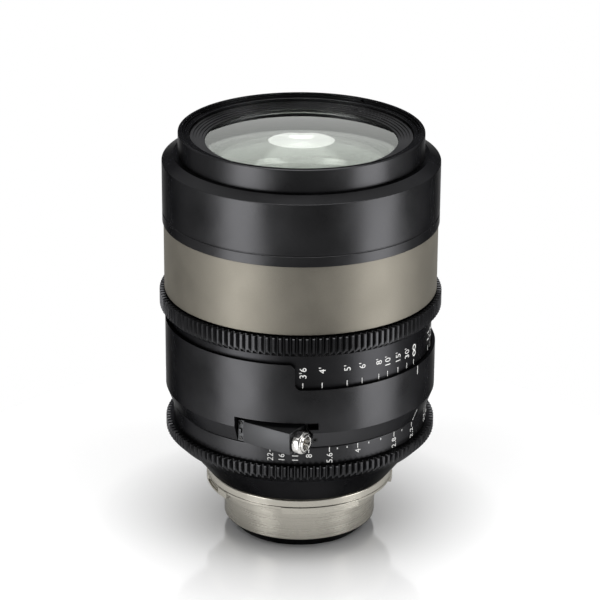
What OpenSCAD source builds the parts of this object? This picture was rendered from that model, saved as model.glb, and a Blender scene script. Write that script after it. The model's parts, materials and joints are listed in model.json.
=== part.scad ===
// Cinema prime lens with a four-wing breech mount, focus and iris rings with drive gears.
// Lengths are millimetres. Z is the optical axis and points to the front of the lens.
// Z = 0 is the seat: the rear face of the four wings, which rests on the camera.
// Turns are counted from -Y towards +X, seen from the front.

/* [Camera mount] */
// Diameter of the tube that enters the camera
tube_d = 60.4; // [59:0.1:62]
// Length of that tube behind the seat
tube_len = 14.4; // [13.4:0.1:16]
// Wall of the tube
tube_wall = 2.2; // [1.8:0.1:2.4]
// Length of the centring shoulder behind the seat
shoulder_len = 4.4; // [3:0.1:6]
// How far the centring shoulder stands proud of the tube
shoulder_step = 1.4; // [0.8:0.1:2]
// How far the four wings stand proud of the tube
wing_proud = 7.1; // [6.8:0.1:7.8]
// Thickness of a wing
wing_t = 2.9; // [2.5:0.1:3.5]
// Turn that one wing spans
wing_turn = 50; // [40:1:60]
// Turn of the first wing's middle
wing_first_turn = 14; // [10:1:18]
// How far the flange in front of the wings stands proud of the tube
flange_proud = 6.6; // [6.4:0.1:6.8]
// Thickness of that flange
flange_t = 3.1; // [2.6:0.1:4]
// Thickness of the shim that sets the back focus
shim_t = 0.3; // [0.2:0.05:0.6]
// Length of the black cone behind the tube
rear_cone_len = 4.6; // [3.6:0.1:6]
// How far that cone draws in
rear_cone_draw = 4.6; // [3.2:0.1:5.7]

/* [Rear housing] */
// Height of the black cone between mount and iris ring
rear_h = 13.4; // [12.5:0.1:16]
// How far its wide end stands proud of the tube that carries the iris ring
rear_lip = 0.7; // [0.5:0.1:1.7]
// Wall of the tube that carries the iris ring
rear_tube_wall = 3.3; // [2.8:0.1:3.5]

/* [Iris ring] */
// Width of the plain band that holds the iris scale
iris_scale_w = 7.5; // [7:0.1:9]
// Width of the iris gear
iris_gear_w = 7.5; // [6.5:0.1:9]
// Wall of the iris ring
iris_wall = 3.8; // [3.6:0.1:4]
// Rim between the iris scale and the bottom of the gear teeth
iris_rim = 1.2; // [0.9:0.1:2]
// Turn of the iris ring from wide open to closed down
iris_turn = 74; // [60:1:76]

/* [Iris blades] */
// Radius of the fully open aperture
aperture_r = 17; // [15.5:0.1:18]
// Width of a blade
blade_w = 12.5; // [11:0.1:13]
// Thickness of a blade
blade_t = 0.25; // [0.15:0.05:0.3]
// Height of one blade level
blade_pitch = 0.35; // [0.33:0.01:0.4]
// How far the circle of blade pivots lies inside the iris cage
pivot_inset = 9.95; // [9.4:0.05:10.3]
// Distance from a blade's pivot to its drive stud
blade_arm = 10; // [9.4:0.1:10.2]
// Turn of a blade from wide open to closed down
blade_turn = 27; // [24:0.5:28]

/* [Main housing] */
// Height of the bevel above the iris ring
bevel_h = 6.7; // [6.2:0.1:8]
// How far the bevel draws in
bevel_step = 2.55; // [2:0.05:2.8]
// Height from the bevel to the sill of the focus window
sill_h = 17.8; // [17:0.1:20]
// Height of the focus window
window_h = 10.3; // [9:0.1:12]
// Wall of the housing over the focus scale
housing_wall = 1.25; // [1:0.05:1.8]
// Turn where the focus window starts
window_start = -2; // [-6:1:2]
// Turn that the focus window spans
window_turn = 178; // [150:1:180]
// Height of the second window, on the far side
side_window_h = 6.8; // [5:0.1:7.2]
// Turn that the second window spans
side_window_turn = 84; // [60:1:90]

/* [Focus ring] */
// Width of the scale that shows between housing and gear
scale_show_w = 3.6; // [3:0.1:5]
// Width of the focus gear
focus_gear_w = 7.9; // [7:0.1:9]
// Gap that shows between the focus gear and the name band
gear_recess = 0.8; // [0.6:0.1:1.4]
// Wall of the scale drum
drum_wall = 2.15; // [2:0.05:2.6]
// Wall of the cam sleeve under the drum
sleeve_wall = 2.7; // [2.4:0.1:3.2]
// Rim between the scale drum and the bottom of the gear teeth
focus_rim = 1.9; // [1.4:0.1:2.4]
// Turn of the focus ring from infinity to the nearest distance
focus_turn = 110; // [80:1:112]
// Travel of the focus group over that turn
focus_travel = 8; // [5:0.1:8.5]

/* [Gears] */
// Tooth module of both gears
gear_module = 0.8; // [0.78:0.01:0.82]

/* [Front barrel] */
// Bore of the fixed inner barrel
barrel_bore_d = 87; // [86.8:0.1:87.6]
// Wall of the fixed inner barrel
barrel_wall = 3; // [2.8:0.1:3.4]
// Height of the grey band
band_h = 27.4; // [24:0.1:32]
// Wall of the grey band
band_wall = 3; // [2.6:0.1:3.3]
// How far the black barrel stands proud of the grey band
barrel_step = 0.5; // [0.2:0.1:1]
// Height of the black barrel above the grey band
barrel_h = 26.9; // [26:0.1:32]
// Height of the chamfer at the top of the black barrel
barrel_chamfer_h = 2.3; // [1.5:0.1:3]

/* [Front ring] */
// How far the front ring, where a matte box clamps, stands back from the black barrel
front_step = 6.3; // [5.8:0.1:6.4]
// Height of the front ring
front_ring_h = 9.2; // [9:0.1:11]
// Wall of the front ring beside its accessory thread
front_wall = 4.5; // [4.3:0.1:4.6]
// How far the edge of the clear front glass lies inside that thread
front_glass_inset = 5.8; // [5.5:0.1:7]
// Radius of curvature of the front glass
front_glass_curve = 260; // [200:1:400]

/* [Data connector] */
// Turn that the flat face of the connector block looks towards
block_turn = -32.5; // [-36:0.1:-30]
// Depth of that face under the surface of the housing
block_sink = 2.25; // [2.1:0.05:2.6]
// Length of the flat face
block_len = 21; // [20:0.1:21.5]
// Height of the block
block_h = 8.7; // [8.4:0.1:8.9]
// Diameter of the nut on the socket
nut_d = 9.6; // [9:0.1:9.8]
// Bore of the socket
socket_bore_d = 5; // [4.6:0.1:5.2]

/* [Hidden] */
$fn = 96;
glass_steps = 400;

// Clearances, and the overrun that every cut shares
seat_fit = 0.05;
run_fit = 0.1;
turn_gap = 0.3;
scale_gap = 0.4;
over = 0.5;

// Levels along the optical axis, from the seat to the front
pocket_rise = 4.3;
pocket_roof = 0.9;
barrel_flange_h = 4;
shim_z = wing_t + flange_t;
rear_z = shim_z + shim_t;
rear_top_z = rear_z + rear_h;
iris_z = rear_top_z + turn_gap;
iris_gear_top_z = iris_z + iris_gear_w;
iris_top_z = iris_gear_top_z + iris_scale_w;
house_z = iris_top_z + turn_gap;
bevel_top_z = house_z + bevel_h;
pocket_top_z = bevel_top_z + pocket_rise;
barrel_seat_z = pocket_top_z + pocket_roof;
barrel_flange_top_z = barrel_seat_z + barrel_flange_h;
drum_z = barrel_flange_top_z + turn_gap;
window_z = bevel_top_z + sill_h;
house_top_z = window_z + window_h;
gear_z = house_top_z + scale_show_w;
gear_top_z = gear_z + focus_gear_w;
band_z = gear_top_z + gear_recess;
band_top_z = band_z + band_h;
barrel_top_z = band_top_z + barrel_h;
front_z = barrel_top_z + front_ring_h;

// Radii of the nested rings, from the inside out
barrel_flange_w = 3.7;
band_proud = 0.15;
bore_r = barrel_bore_d / 2;
barrel_r = bore_r + barrel_wall;
sleeve_in_r = barrel_r + run_fit;
sleeve_r = sleeve_in_r + sleeve_wall;
drum_in_r = sleeve_r + seat_fit;
drum_r = drum_in_r + drum_wall;
housing_in_r = drum_r + scale_gap;
housing_r = housing_in_r + housing_wall;
bevel_r = housing_r - bevel_step;
band_r = housing_r + band_proud;
shell_r = band_r + barrel_step;
barrel_flange_r = barrel_r + barrel_flange_w;

// Tubes of the rear housing and the iris ring
rear_tube_step = 0.2;
rear_tube_r = barrel_r - rear_tube_step;
rear_in_r = rear_tube_r - rear_tube_wall;
cage_r = rear_in_r - seat_fit;
iris_in_r = rear_tube_r + run_fit;
iris_r = iris_in_r + iris_wall;

// Tooth sizes: the addendum is one module and the dedendum one and a quarter
addendum = gear_module;
dedendum = 1.25 * gear_module;
flank_angle = 20;
focus_teeth = round(2 * (drum_r + focus_rim + dedendum) / gear_module);
iris_teeth = round(2 * (iris_r + iris_rim + dedendum) / gear_module);
function tip_r(teeth) = gear_module * teeth / 2 + addendum;
function root_r(teeth) = gear_module * teeth / 2 - dedendum;

// Camera mount
tube_r = tube_d / 2;
tube_in_r = tube_r - tube_wall;
shoulder_r = tube_r + shoulder_step;
wing_r = tube_r + wing_proud;
wing_count = 4;
wing_root_w = 3.3;
wing_root_h = 1.6;
flange_r = tube_r + flange_proud;
edge_chamfer = 0.4;
pin_slot_gap_turn = 2;
pin_slot_w = 0.9;
pin_slot_depth = 1.3;
pin_slot_drop = 0.15;
relief_start_turn = 28;
relief_stop_turn = 9;
relief_lip = 0.7;
relief_depth = 1;
rear_cone_r = tube_r - rear_cone_draw;
baffle_spigot = 2.2;
baffle_wall = 5.1;
baffle_step_w = 3.4;
baffle_step_h = 3;
mount_screw_shaft_r = 1;
mount_screw_head_r = 1.8;
mount_screw_head_h = 1.4;
mount_screw_len = 9;
mount_screw_sink = 0.2;
mount_screw_margin = 1.1;
mount_screw_r = wing_r - mount_screw_head_r - mount_screw_margin;

// Rear housing
rear_low_step = 0.2;
rear_top_land = 0.6;
rear_bore_gap = 0.4;
rear_ledge_drop = 1.7;
rear_low_r = flange_r + rear_low_step;
rear_top_r = rear_tube_r + rear_lip;
rear_bore_r = tube_in_r + rear_bore_gap;
rear_ledge_z = rear_top_z - rear_ledge_drop;

// Rear optical group
rear_cell_gap = 0.2;
rear_cell_flange_t = 3;
rear_front_wall = 3.5;
rear_back_wall = 5.5;
rear_front_glass_t = 6.4;
rear_mid_glass_t = 5;
rear_back_glass_t = 5.5;
rear_front_depth = 10;
rear_ledge_w = 2.6;
rear_ledge_t = 2;
rear_spacer_t = 4.4;
rear_ring_t = 1.8;
rear_front_curve = 120;
rear_front_back_curve = 160;
rear_mid_front_curve = 70;
rear_mid_back_curve = 55;
rear_back_front_curve = 90;
rear_back_curve = 200;
rear_cell_r = tube_in_r - rear_bore_gap;
rear_cell_z = baffle_spigot + rear_cell_gap - tube_len;
rear_front_glass_r = rear_cell_r - rear_front_wall;
rear_back_glass_r = rear_cell_r - rear_back_wall;
rear_cell_top_z = rear_ledge_z + rear_cell_flange_t;
rear_front_seat_z = rear_cell_top_z - rear_front_depth;
rear_back_seat_z = rear_front_seat_z - rear_ledge_t;
rear_ring_in_r = rear_back_glass_r - rear_ledge_w;
rear_mid_high_z = rear_back_seat_z - seat_fit
    - sag_between(rear_mid_front_curve, rear_ring_in_r, rear_back_glass_r);
rear_mid_low_z = rear_mid_high_z - rear_mid_glass_t;
rear_spacer_top_z = rear_mid_low_z - seat_fit
    - sag_between(rear_mid_back_curve, rear_ring_in_r, rear_back_glass_r);
rear_spacer_low_z = rear_spacer_top_z - rear_spacer_t;
rear_back_high_z = rear_spacer_low_z - seat_fit;

// Iris cage, from its floor to its cover
blade_count = 9;
cage_floor_t = 2.5;
cage_wall = 1.8;
cam_slot_rim = 0.8;
cam_ring_t = 2.4;
cover_t = 1.5;
cover_ledge = 0.8;
iris_retainer_t = 2.6;
iris_retainer_w = 5;
floor_lip = 0.5;
pivot_pin_r = 0.9;
stud_r = 0.7;
cam_slot_r = 0.85;
cam_slot_end_r = 0.95;
stud_recess = 0.4;
blade_tab_r = 2.2;
stud_tab_r = 1.8;
blade_tail_turn = 112;
blade_end_relief = 0.1;
blade_first_turn = 8;
slot_steps = 18;
cage_z = rear_cell_top_z;
blade_z = cage_z + cage_floor_t + turn_gap;
cam_ring_z = blade_z + blade_count * blade_pitch + turn_gap;
cam_ring_r = cage_r - cage_wall - run_fit;
cover_z = cam_ring_z + cam_ring_t + turn_gap;
cage_top_z = cover_z + cover_t;
blade_step_turn = 360 / blade_count;
pivot_r = cage_r - pivot_inset;
arm_start_turn = -90 - blade_turn / 2;
cam_ring_in_r = norm(stud_point(0, 0)) - cam_slot_r - cam_slot_rim;

// Drive pin of the iris, and the arc slots that it passes through
drive_pin_r = 0.8;
drive_pin_turn = 120;
drive_pin_bite = 1.6;
drive_pin_back = 1;
drive_pin_z = cam_ring_z + cam_ring_t / 2;
drive_slot_half = drive_pin_r + turn_gap;
drive_slot_margin = asin(drive_slot_half / cam_ring_r);

// Focus group, which slides in the inner barrel
follower_count = 3;
follower_first_turn = 60;
follower_r = 2;
follower_fit = 0.1;
follower_foot = 8.5;
follower_tip_gap = 0.3;
follower_pin_r = 1.3;
follower_pin_bite = 6;
groove_steps = 11;
groove_end_relief = 0.15;
focus_cell_wall = 2.6;
focus_glass_margin = 11.5;
focus_cell_back = 12.8;
focus_cell_front = 13;
focus_web_half = 3;
focus_hub_wall = 2.6;
focus_back_step = 3;
focus_ledge_w = 2.6;
focus_ring_t = 1.8;
focus_front_glass_t = 5;
focus_back_glass_t = 6.4;
focus_front_curve = 75;
focus_front_back_curve = 200;
focus_back_front_curve = 220;
focus_back_curve = 160;
follower_z = drum_z + follower_foot + follower_r;
focus_cell_r = bore_r - run_fit;
focus_front_glass_r = bore_r - focus_glass_margin;
focus_back_glass_r = focus_front_glass_r - focus_back_step;

// Stop that ends the turn of the focus ring
stop_h = 2.6;
stop_turn = 8;
stop_middle = 170;
stop_clear = 1;

// Front optical group
web_t = 3;
web_drop = 5.7;
cell_flange_t = 2.1;
front_cell_gap = 0.2;
front_cell_drop = 2.4;
front_glass_seat = 2.3;
front_edge_drop = 4.3;
front_edge_t = 5.1;
front_back_curve = 160;
front_ledge_w = 4.6;
front_ledge_t = 4;
front_cell_len = 44.7;
inner_glass_wall = 5.4;
second_front_curve = 120;
second_back_curve = 200;
second_edge_t = 4;
spacer_t = 9;
spacer_w = 3;
third_front_curve = 220;
third_back_curve = 260;
third_edge_t = 8;
group_ring_t = 3;
group_ring_w = 3.4;
retainer_w = 1.05;
retainer_skirt = 2.4;
retainer_drop = 0.3;
retainer_grip = 1.2;
fine_step_h = 0.4;
spanner_count = 2;
spanner_first_turn = 147.5;
spanner_w = 1.8;
spanner_depth = 1;
web_z = barrel_top_z - web_drop;
front_cell_r = bore_r - run_fit;
clamp_r = shell_r - front_step;
filter_r = clamp_r - front_wall;
front_cell_top_r = filter_r - front_cell_gap;
front_cell_top_z = front_z - front_cell_drop;
front_clear_r = filter_r - front_glass_inset;
front_glass_r = front_clear_r + front_glass_seat;
front_dome_z = front_z - front_edge_drop;
inner_glass_r = front_cell_r - inner_glass_wall;
retainer_r = front_glass_r + retainer_w;
retainer_step_w = (retainer_r - front_clear_r) / 3;
retainer_top_z = front_cell_top_z - fine_step_h - retainer_drop;
cell_step_r = (front_cell_top_r + retainer_r) / 2;
front_ledge_r = front_glass_r - front_ledge_w;
front_edge_z = front_dome_z - sag_between(front_glass_curve, front_clear_r, front_glass_r);
front_seat_z = front_edge_z - front_edge_t;
front_lip_z = front_seat_z - front_ledge_t;
second_high_z = front_lip_z - seat_fit
    - sag_between(second_front_curve, front_ledge_r, inner_glass_r);
second_low_z = second_high_z - second_edge_t;
third_high_z = second_low_z - spacer_t;
third_low_z = third_high_z - third_edge_t;

// Inner barrel, name band, front barrel and front ring
band_web_rise = 3.8;
band_web_t = 3;
barrel_neck = 0.5;
spigot_h = 3;
spigot_w = 2;
top_land = 1.9;
front_thread_step = 0.5;
groove_rise = 4.1;
groove_w = 0.5;
groove_depth = 0.35;
ring_lip = 1.7;
ring_step_w = 0.8;
ring_step_h = 0.6;
barrel_end_z = web_z - web_t;
band_web_z = band_z + band_web_rise;
neck_r = barrel_r - barrel_neck;
band_in_r = band_r - band_wall;
front_thread_r = clamp_r - front_thread_step;

// Screws
hole_fit = 0.05;
socket_flat_share = 0.55;
socket_depth_share = 0.6;
front_screw_count = 6;
front_screw_first_turn = 20;
front_screw_shaft_r = 0.7;
front_screw_head_r = 1.2;
front_screw_head_h = 1.2;
front_screw_sink = 0.2;
front_screw_len = 8;
front_screw_r = (bore_r + neck_r) / 2;
barrel_screw_turns = [40, 100, 160, 220, 280];
barrel_screw_shaft_r = 0.9;
barrel_screw_head_r = 1.5;
barrel_screw_head_h = 1.8;
barrel_screw_sink = 0.4;
barrel_screw_bite = 3.2;
barrel_screw_r = barrel_r + barrel_flange_w / 2;
housing_screw_turns = [6.4, 126.4, 246.4];
housing_screw_shaft_r = 0.8;
housing_screw_head_r = 1.1;
housing_screw_head_h = 1.1;
housing_screw_sink = 0.3;
housing_screw_bite = 2;
housing_screw_z = house_z + bevel_h / 2;
housing_screw_top_r = bevel_r + bevel_step / 2 - housing_screw_sink;
housing_screw_len = housing_screw_top_r - rear_tube_r + housing_screw_bite;
barrel_screw_len = barrel_seat_z + barrel_screw_bite - house_z - barrel_screw_sink;

// Gear details
gear_edge = 0.3;
focus_chamfer_h = 2.1;
focus_chamfer_w = 2.2;
iris_chamfer_h = 3.7;
iris_chamfer_w = 3.6;
gear_seat_w = 2;
gear_screw_count = 6;
gear_screw_first_turn = 10;
gear_screw_shaft_r = 0.6;
gear_screw_head_r = 1;
gear_screw_head_h = 0.9;
gear_screw_sink = 0.3;
gear_screw_bite = 3;
gear_screw_inset = 0.9;
iris_gear_screw_len = iris_gear_w - iris_chamfer_h / 2 + gear_screw_bite;
focus_gear_screw_len = focus_gear_w - gear_screw_sink + gear_screw_bite;

// Encoder in the hollow under the name band
encoder_ring_t = 1.3;
encoder_ring_w = 2.4;
board_t = 1.4;
board_turns = [-30, 25];
board_gap = 0.3;
board_inset = 0.95;
sleeve_top_z = band_z - turn_gap;

// Rounded corners of the focus window: two at its sill, two at the housing's front edge
sill_corner_r = 2.5;
lip_corner_r = 2.6;
corner_relief = 0.03;
corner_steps = 12;
sill_lap = 1;

// Second window, on the far side
side_window_start = -86;
side_window_sill = 0.6;
side_window_turns = [side_window_start - side_window_turn, side_window_start];
side_window_z = drum_z + side_window_sill;

// Connector block, in a frame turned to its own flat face
block_face_r = housing_r - block_sink;
block_floor_rise = 1.8;
block_offset = 6.9;
lug_offset = 4.1;
lug_t = 2.2;
lug_rib_h = 1.9;
lug_rib_w = 1.2;
lug_rib_t = 0.5;
pocket_offset = 4;
pocket_stop_turn = 3.9;
notch_lap_turn = 1;
notch_stop_turn = 7.8;
notch_h = 2.9;
notch_step = 0.1;
socket_depth = 4.4;
socket_tail_r = 2.6;
socket_tail_len = 3.5;
socket_thread_r = 3.4;
socket_reach = 5;
socket_clear = 0.2;
nut_gap = 0.7;
nut_t = 3.6;
nut_chamfer = 0.7;
nut_flat_share = 0.93;
nut_clear = 0.4;
contact_count = 4;
contact_r = 0.3;
contact_circle_r = 1.2;
contact_len = 2;
lug_screw_rise = 3.2;
lug_screw_x = 5.2;
lug_screw_shaft_r = 0.5;
lug_screw_head_r = 0.8;
lug_screw_head_h = 0.5;
lug_screw_bite = 0.9;
block_floor_r = barrel_r + block_floor_rise;
block_end = block_offset + block_len;
lug_r = block_floor_r + lug_t;
lug_screw_len = lug_t + lug_screw_bite;
block_z = house_z;
socket_y = socket_depth - block_face_r;
nut_r = nut_d / 2;
socket_z = block_z + block_h / 2;
nut_start = block_end + nut_gap;

// Colours, as the photograph shows them
black_metal = "#26272a";
soft_black = "#1b1c1e";
titanium = "#8f8c82";
silver = "#c3beb2";
steel = "#9a9a9c";
glass = "#b9c4b4";
board_green = "#2f5a3c";
ring_grey = "#4a4a4e";

// Shared shapes

// A ring between two radii and two levels
module ring(outer_r, inner_r, low_z, high_z) {
    translate([0, 0, low_z]) difference() {
        cylinder(r = outer_r, h = high_z - low_z);
        translate([0, 0, -over]) cylinder(r = inner_r, h = high_z - low_z + 2 * over);
    }
}

// A turned part from its outline of radius and level
module turned(points) {
    rotate_extrude() polygon(points);
}

// Places children at a turn counted from -Y towards +X
module at_turn(turn) {
    rotate([0, 0, turn]) children();
}

// The part of a ring between two turns
module ring_arc(outer_r, inner_r, low_z, high_z, turns) {
    rotate([0, 0, turns[0] - 90]) rotate_extrude(angle = turns[1] - turns[0])
        translate([inner_r, low_z]) square([outer_r - inner_r, high_z - low_z]);
}

// A radial cylinder that points outwards along -Y
module radial(r, from_r, to_r, level) {
    translate([0, -from_r, level]) rotate([90, 0, 0]) cylinder(r = r, h = to_r - from_r);
}

// A screw whose head's top is at the origin and whose shaft goes down
module screw(head_r, head_h, shaft_r, length) {
    difference() {
        union() {
            translate([0, 0, -head_h]) cylinder(r = head_r, h = head_h);
            translate([0, 0, -length]) cylinder(r = shaft_r, h = length);
        }
        translate([0, 0, -head_h * socket_depth_share])
            cylinder(r = head_r * socket_flat_share, h = head_h, $fn = 6);
    }
}

// The hole that takes a screw, open above the head
module screw_hole(head_r, head_h, shaft_r, length, above) {
    translate([0, 0, -head_h - hole_fit]) cylinder(r = head_r + hole_fit, h = head_h + hole_fit + above);
    translate([0, 0, -length - hole_fit]) cylinder(r = shaft_r + hole_fit, h = length);
}

// Height of a sphere's cap over a circle, and the part of it between two radii
function sag(curve, r) = curve - sqrt(curve * curve - r * r);
function sag_between(curve, near_r, far_r) = sag(curve, far_r) - sag(curve, near_r);

// A glass element between two edge levels. A positive curve bulges, a negative one is hollow.
module element(r, low_z, high_z, front_curve, back_curve) {
    front_sag = sag(abs(front_curve), r);
    back_sag = sag(abs(back_curve), r);
    top_z = high_z + (front_curve > 0 ? front_sag : 0);
    bottom_z = low_z - (back_curve > 0 ? back_sag : 0);
    blank_h = top_z - bottom_z;
    difference() {
        intersection() {
            translate([0, 0, bottom_z]) cylinder(r = r, h = blank_h);
            if (front_curve > 0)
                translate([0, 0, top_z - front_curve]) sphere(r = front_curve, $fn = glass_steps);
            else
                translate([0, 0, bottom_z - over]) cylinder(r = r + over, h = blank_h + 2 * over);
            if (back_curve > 0)
                translate([0, 0, bottom_z + back_curve]) sphere(r = back_curve, $fn = glass_steps);
            else
                translate([0, 0, bottom_z - over]) cylinder(r = r + over, h = blank_h + 2 * over);
        }
        if (front_curve < 0)
            translate([0, 0, high_z - front_sag - front_curve]) sphere(r = -front_curve, $fn = glass_steps);
        if (back_curve < 0)
            translate([0, 0, low_z + back_sag + back_curve]) sphere(r = -back_curve, $fn = glass_steps);
    }
}

// Outline of a gear with straight flanks
function gear_points(teeth) = [
    for (i = [0 : teeth - 1])
        let (
            pitch_half = PI * gear_module / 4,
            tip_half = (pitch_half - addendum * tan(flank_angle)) / tip_r(teeth) * 180 / PI,
            root_half = (pitch_half + dedendum * tan(flank_angle)) / root_r(teeth) * 180 / PI,
            middle = i * 360 / teeth
        )
        each [
            root_r(teeth) * [cos(middle - root_half), sin(middle - root_half)],
            tip_r(teeth) * [cos(middle - tip_half), sin(middle - tip_half)],
            tip_r(teeth) * [cos(middle + tip_half), sin(middle + tip_half)],
            root_r(teeth) * [cos(middle + root_half), sin(middle + root_half)]
        ]
];

// A gear ring with a chamfer under its teeth
module gear_ring(teeth, inner_r, low_z, high_z, chamfer_w, chamfer_h) {
    outer = tip_r(teeth);
    intersection() {
        translate([0, 0, low_z]) linear_extrude(high_z - low_z) difference() {
            polygon(gear_points(teeth));
            circle(r = inner_r);
        }
        turned([
            [0, low_z], [outer - chamfer_w, low_z],
            [outer + over, low_z + chamfer_h + over * chamfer_h / chamfer_w],
            [outer + over, high_z - gear_edge - over], [outer - gear_edge, high_z], [0, high_z]
        ]);
    }
}

// Front parts

// Ring at the very front, with the clamp diameter outside and the accessory thread inside
module front_ring() {
    thread_r = front_thread_r - seat_fit;
    lip_r = clamp_r - ring_lip;
    low_z = web_z + cell_flange_t;
    color(black_metal) difference() {
        turned([
            [filter_r, low_z], [thread_r, low_z], [thread_r, barrel_top_z], [clamp_r, barrel_top_z],
            [clamp_r, front_z - edge_chamfer], [clamp_r - edge_chamfer, front_z], [lip_r, front_z],
            [lip_r, front_z - ring_step_h], [lip_r - ring_step_w, front_z - ring_step_h],
            [lip_r - ring_step_w, front_z - 2 * ring_step_h], [filter_r, front_z - 2 * ring_step_h]
        ]);
        spanner_notches(lip_r + ring_step_w / 2, 2 * ring_step_w, front_z - 2 * ring_step_h - fine_step_h);
    }
}

// Opposite notches for a pin spanner, from a floor level up
module spanner_notches(outer_r, length, floor_z) {
    for (i = [0 : spanner_count - 1]) at_turn(spanner_first_turn + i * 360 / spanner_count)
        translate([-spanner_w / 2, -outer_r, floor_z]) cube([spanner_w, length, front_z - floor_z]);
}

// Threaded ring over the edge of the front glass, stepped down to it in three fine steps
module front_retainer() {
    grip_r = front_clear_r + retainer_grip;
    step_r = retainer_r - retainer_step_w;
    color(ring_grey) difference() {
        turned([
            [front_glass_r + seat_fit, front_edge_z - retainer_skirt],
            [retainer_r, front_edge_z - retainer_skirt], [retainer_r, retainer_top_z],
            [step_r, retainer_top_z], [step_r, retainer_top_z - fine_step_h],
            [step_r - retainer_step_w, retainer_top_z - fine_step_h],
            [step_r - retainer_step_w, retainer_top_z - 2 * fine_step_h],
            [front_clear_r, retainer_top_z - 2 * fine_step_h],
            [front_clear_r, front_dome_z + seat_fit],
            [grip_r, front_dome_z + seat_fit - sag_between(front_glass_curve, front_clear_r, grip_r)],
            [front_glass_r + seat_fit, front_edge_z + seat_fit]
        ]);
        spanner_notches(retainer_r + over, over + spanner_depth,
            retainer_top_z - 2 * fine_step_h);
    }
}

// Large convex front glass
module front_element() {
    color(glass) element(front_glass_r, front_seat_z + seat_fit, front_edge_z,
        front_glass_curve, -front_back_curve);
}

// Second glass, whose dome rests on the lip of the front cell
module second_element() {
    color(glass) element(inner_glass_r - seat_fit, second_low_z, second_high_z,
        second_front_curve, -second_back_curve);
}

// Third glass, behind the spacer
module third_element() {
    color(glass) element(inner_glass_r - seat_fit, third_low_z, third_high_z,
        -third_front_curve, -third_back_curve);
}

// Spacer ring between the second and third glass
module element_spacer() {
    color(soft_black) ring(inner_glass_r - seat_fit, inner_glass_r - spacer_w,
        third_high_z + seat_fit, second_low_z - seat_fit);
}

// Threaded ring that holds the second and third glass from behind
module front_group_retainer() {
    high_z = third_low_z - seat_fit;
    color(soft_black) ring(inner_glass_r - seat_fit, inner_glass_r - group_ring_w,
        high_z - group_ring_t, high_z);
}

// Cell of the front glasses, clamped between the front barrel's web and the front ring
module front_cell() {
    thread_z = front_edge_z - retainer_skirt - seat_fit;
    low_z = front_cell_top_z - front_cell_len;
    flange_r = front_thread_r - front_thread_step;
    color(soft_black) turned([
        [inner_glass_r, low_z], [front_cell_r, low_z], [front_cell_r, web_z], [flange_r, web_z],
        [flange_r, web_z + cell_flange_t], [front_cell_top_r, web_z + cell_flange_t],
        [front_cell_top_r, front_cell_top_z], [cell_step_r, front_cell_top_z],
        [cell_step_r, front_cell_top_z - fine_step_h],
        [retainer_r + seat_fit, front_cell_top_z - fine_step_h], [retainer_r + seat_fit, thread_z],
        [front_glass_r + seat_fit, thread_z], [front_glass_r + seat_fit, front_seat_z],
        [front_ledge_r, front_seat_z],
        [front_ledge_r, front_lip_z], [inner_glass_r, front_lip_z]
    ]);
}

// Places one screw of the front end, with its head's top in the web of the front barrel
module at_front_screws() {
    for (i = [0 : front_screw_count - 1])
        at_turn(front_screw_first_turn + i * 360 / front_screw_count)
            translate([0, -front_screw_r, web_z - front_screw_sink]) children();
}

// Black barrel shell, whose web at the front stands on the end of the inner barrel
module front_barrel() {
    spigot_r = band_in_r - seat_fit;
    wall_r = spigot_r - spigot_w;
    groove_z = band_top_z + groove_rise;
    color(black_metal) difference() {
        turned([
            [wall_r, band_top_z - spigot_h], [spigot_r, band_top_z - spigot_h],
            [spigot_r, band_top_z], [shell_r, band_top_z], [shell_r, groove_z],
            [shell_r - groove_depth, groove_z], [shell_r - groove_depth, groove_z + groove_w],
            [shell_r, groove_z + groove_w], [shell_r, barrel_top_z - barrel_chamfer_h],
            [clamp_r + top_land, barrel_top_z], [front_thread_r, barrel_top_z],
            [front_thread_r, web_z], [bore_r, web_z], [bore_r, barrel_end_z],
            [wall_r, barrel_end_z]
        ]);
        at_front_screws() screw_hole(front_screw_head_r, front_screw_head_h,
            front_screw_shaft_r, front_screw_len, over);
    }
}

// Six screws through that web into the inner barrel
module front_screws() {
    color(steel) at_front_screws() screw(front_screw_head_r, front_screw_head_h,
        front_screw_shaft_r, front_screw_len);
}

// Grey band, which keeps the focus ring in place and hides the encoder
module name_band() {
    neck_fit_r = neck_r + seat_fit;
    color(titanium) turned([
        [band_in_r, band_z], [band_r, band_z], [band_r, band_top_z], [band_in_r, band_top_z],
        [band_in_r, band_web_z + band_web_t], [neck_fit_r, band_web_z + band_web_t],
        [neck_fit_r, band_web_z], [band_in_r, band_web_z]
    ]);
}

// Reader board of the focus encoder, under the web of the name band
module encoder_board() {
    color(board_green) ring_arc(band_in_r - board_gap, neck_r + board_inset,
        band_web_z - board_t, band_web_z, board_turns);
}

// Fixed inner barrel with three straight slots for the cam followers
module inner_barrel() {
    color(soft_black) difference() {
        turned([
            [bore_r, barrel_seat_z], [barrel_flange_r, barrel_seat_z],
            [barrel_flange_r, barrel_flange_top_z], [barrel_r, barrel_flange_top_z],
            [barrel_r, band_web_z], [neck_r, band_web_z], [neck_r, barrel_end_z],
            [bore_r, barrel_end_z]
        ]);
        for (i = [0 : follower_count - 1])
            at_turn(follower_first_turn + i * 360 / follower_count) straight_slot();
        at_front_screws() screw_hole(front_screw_head_r, front_screw_head_h,
            front_screw_shaft_r, front_screw_len, over);
        at_barrel_screws() screw_hole(barrel_screw_head_r, barrel_screw_head_h,
            barrel_screw_shaft_r, barrel_screw_len, over);
    }
}

// Straight slot through the inner barrel, as long as the travel of the focus group
module straight_slot() {
    slot_r = follower_r + follower_fit;
    for (level = [follower_z, follower_z + focus_travel])
        radial(slot_r, bore_r - over, barrel_r + over, level);
    translate([-slot_r, -barrel_r - over, follower_z])
        cube([2 * slot_r, barrel_wall + 2 * over, focus_travel]);
}

// Housing and the parts on it

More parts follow.
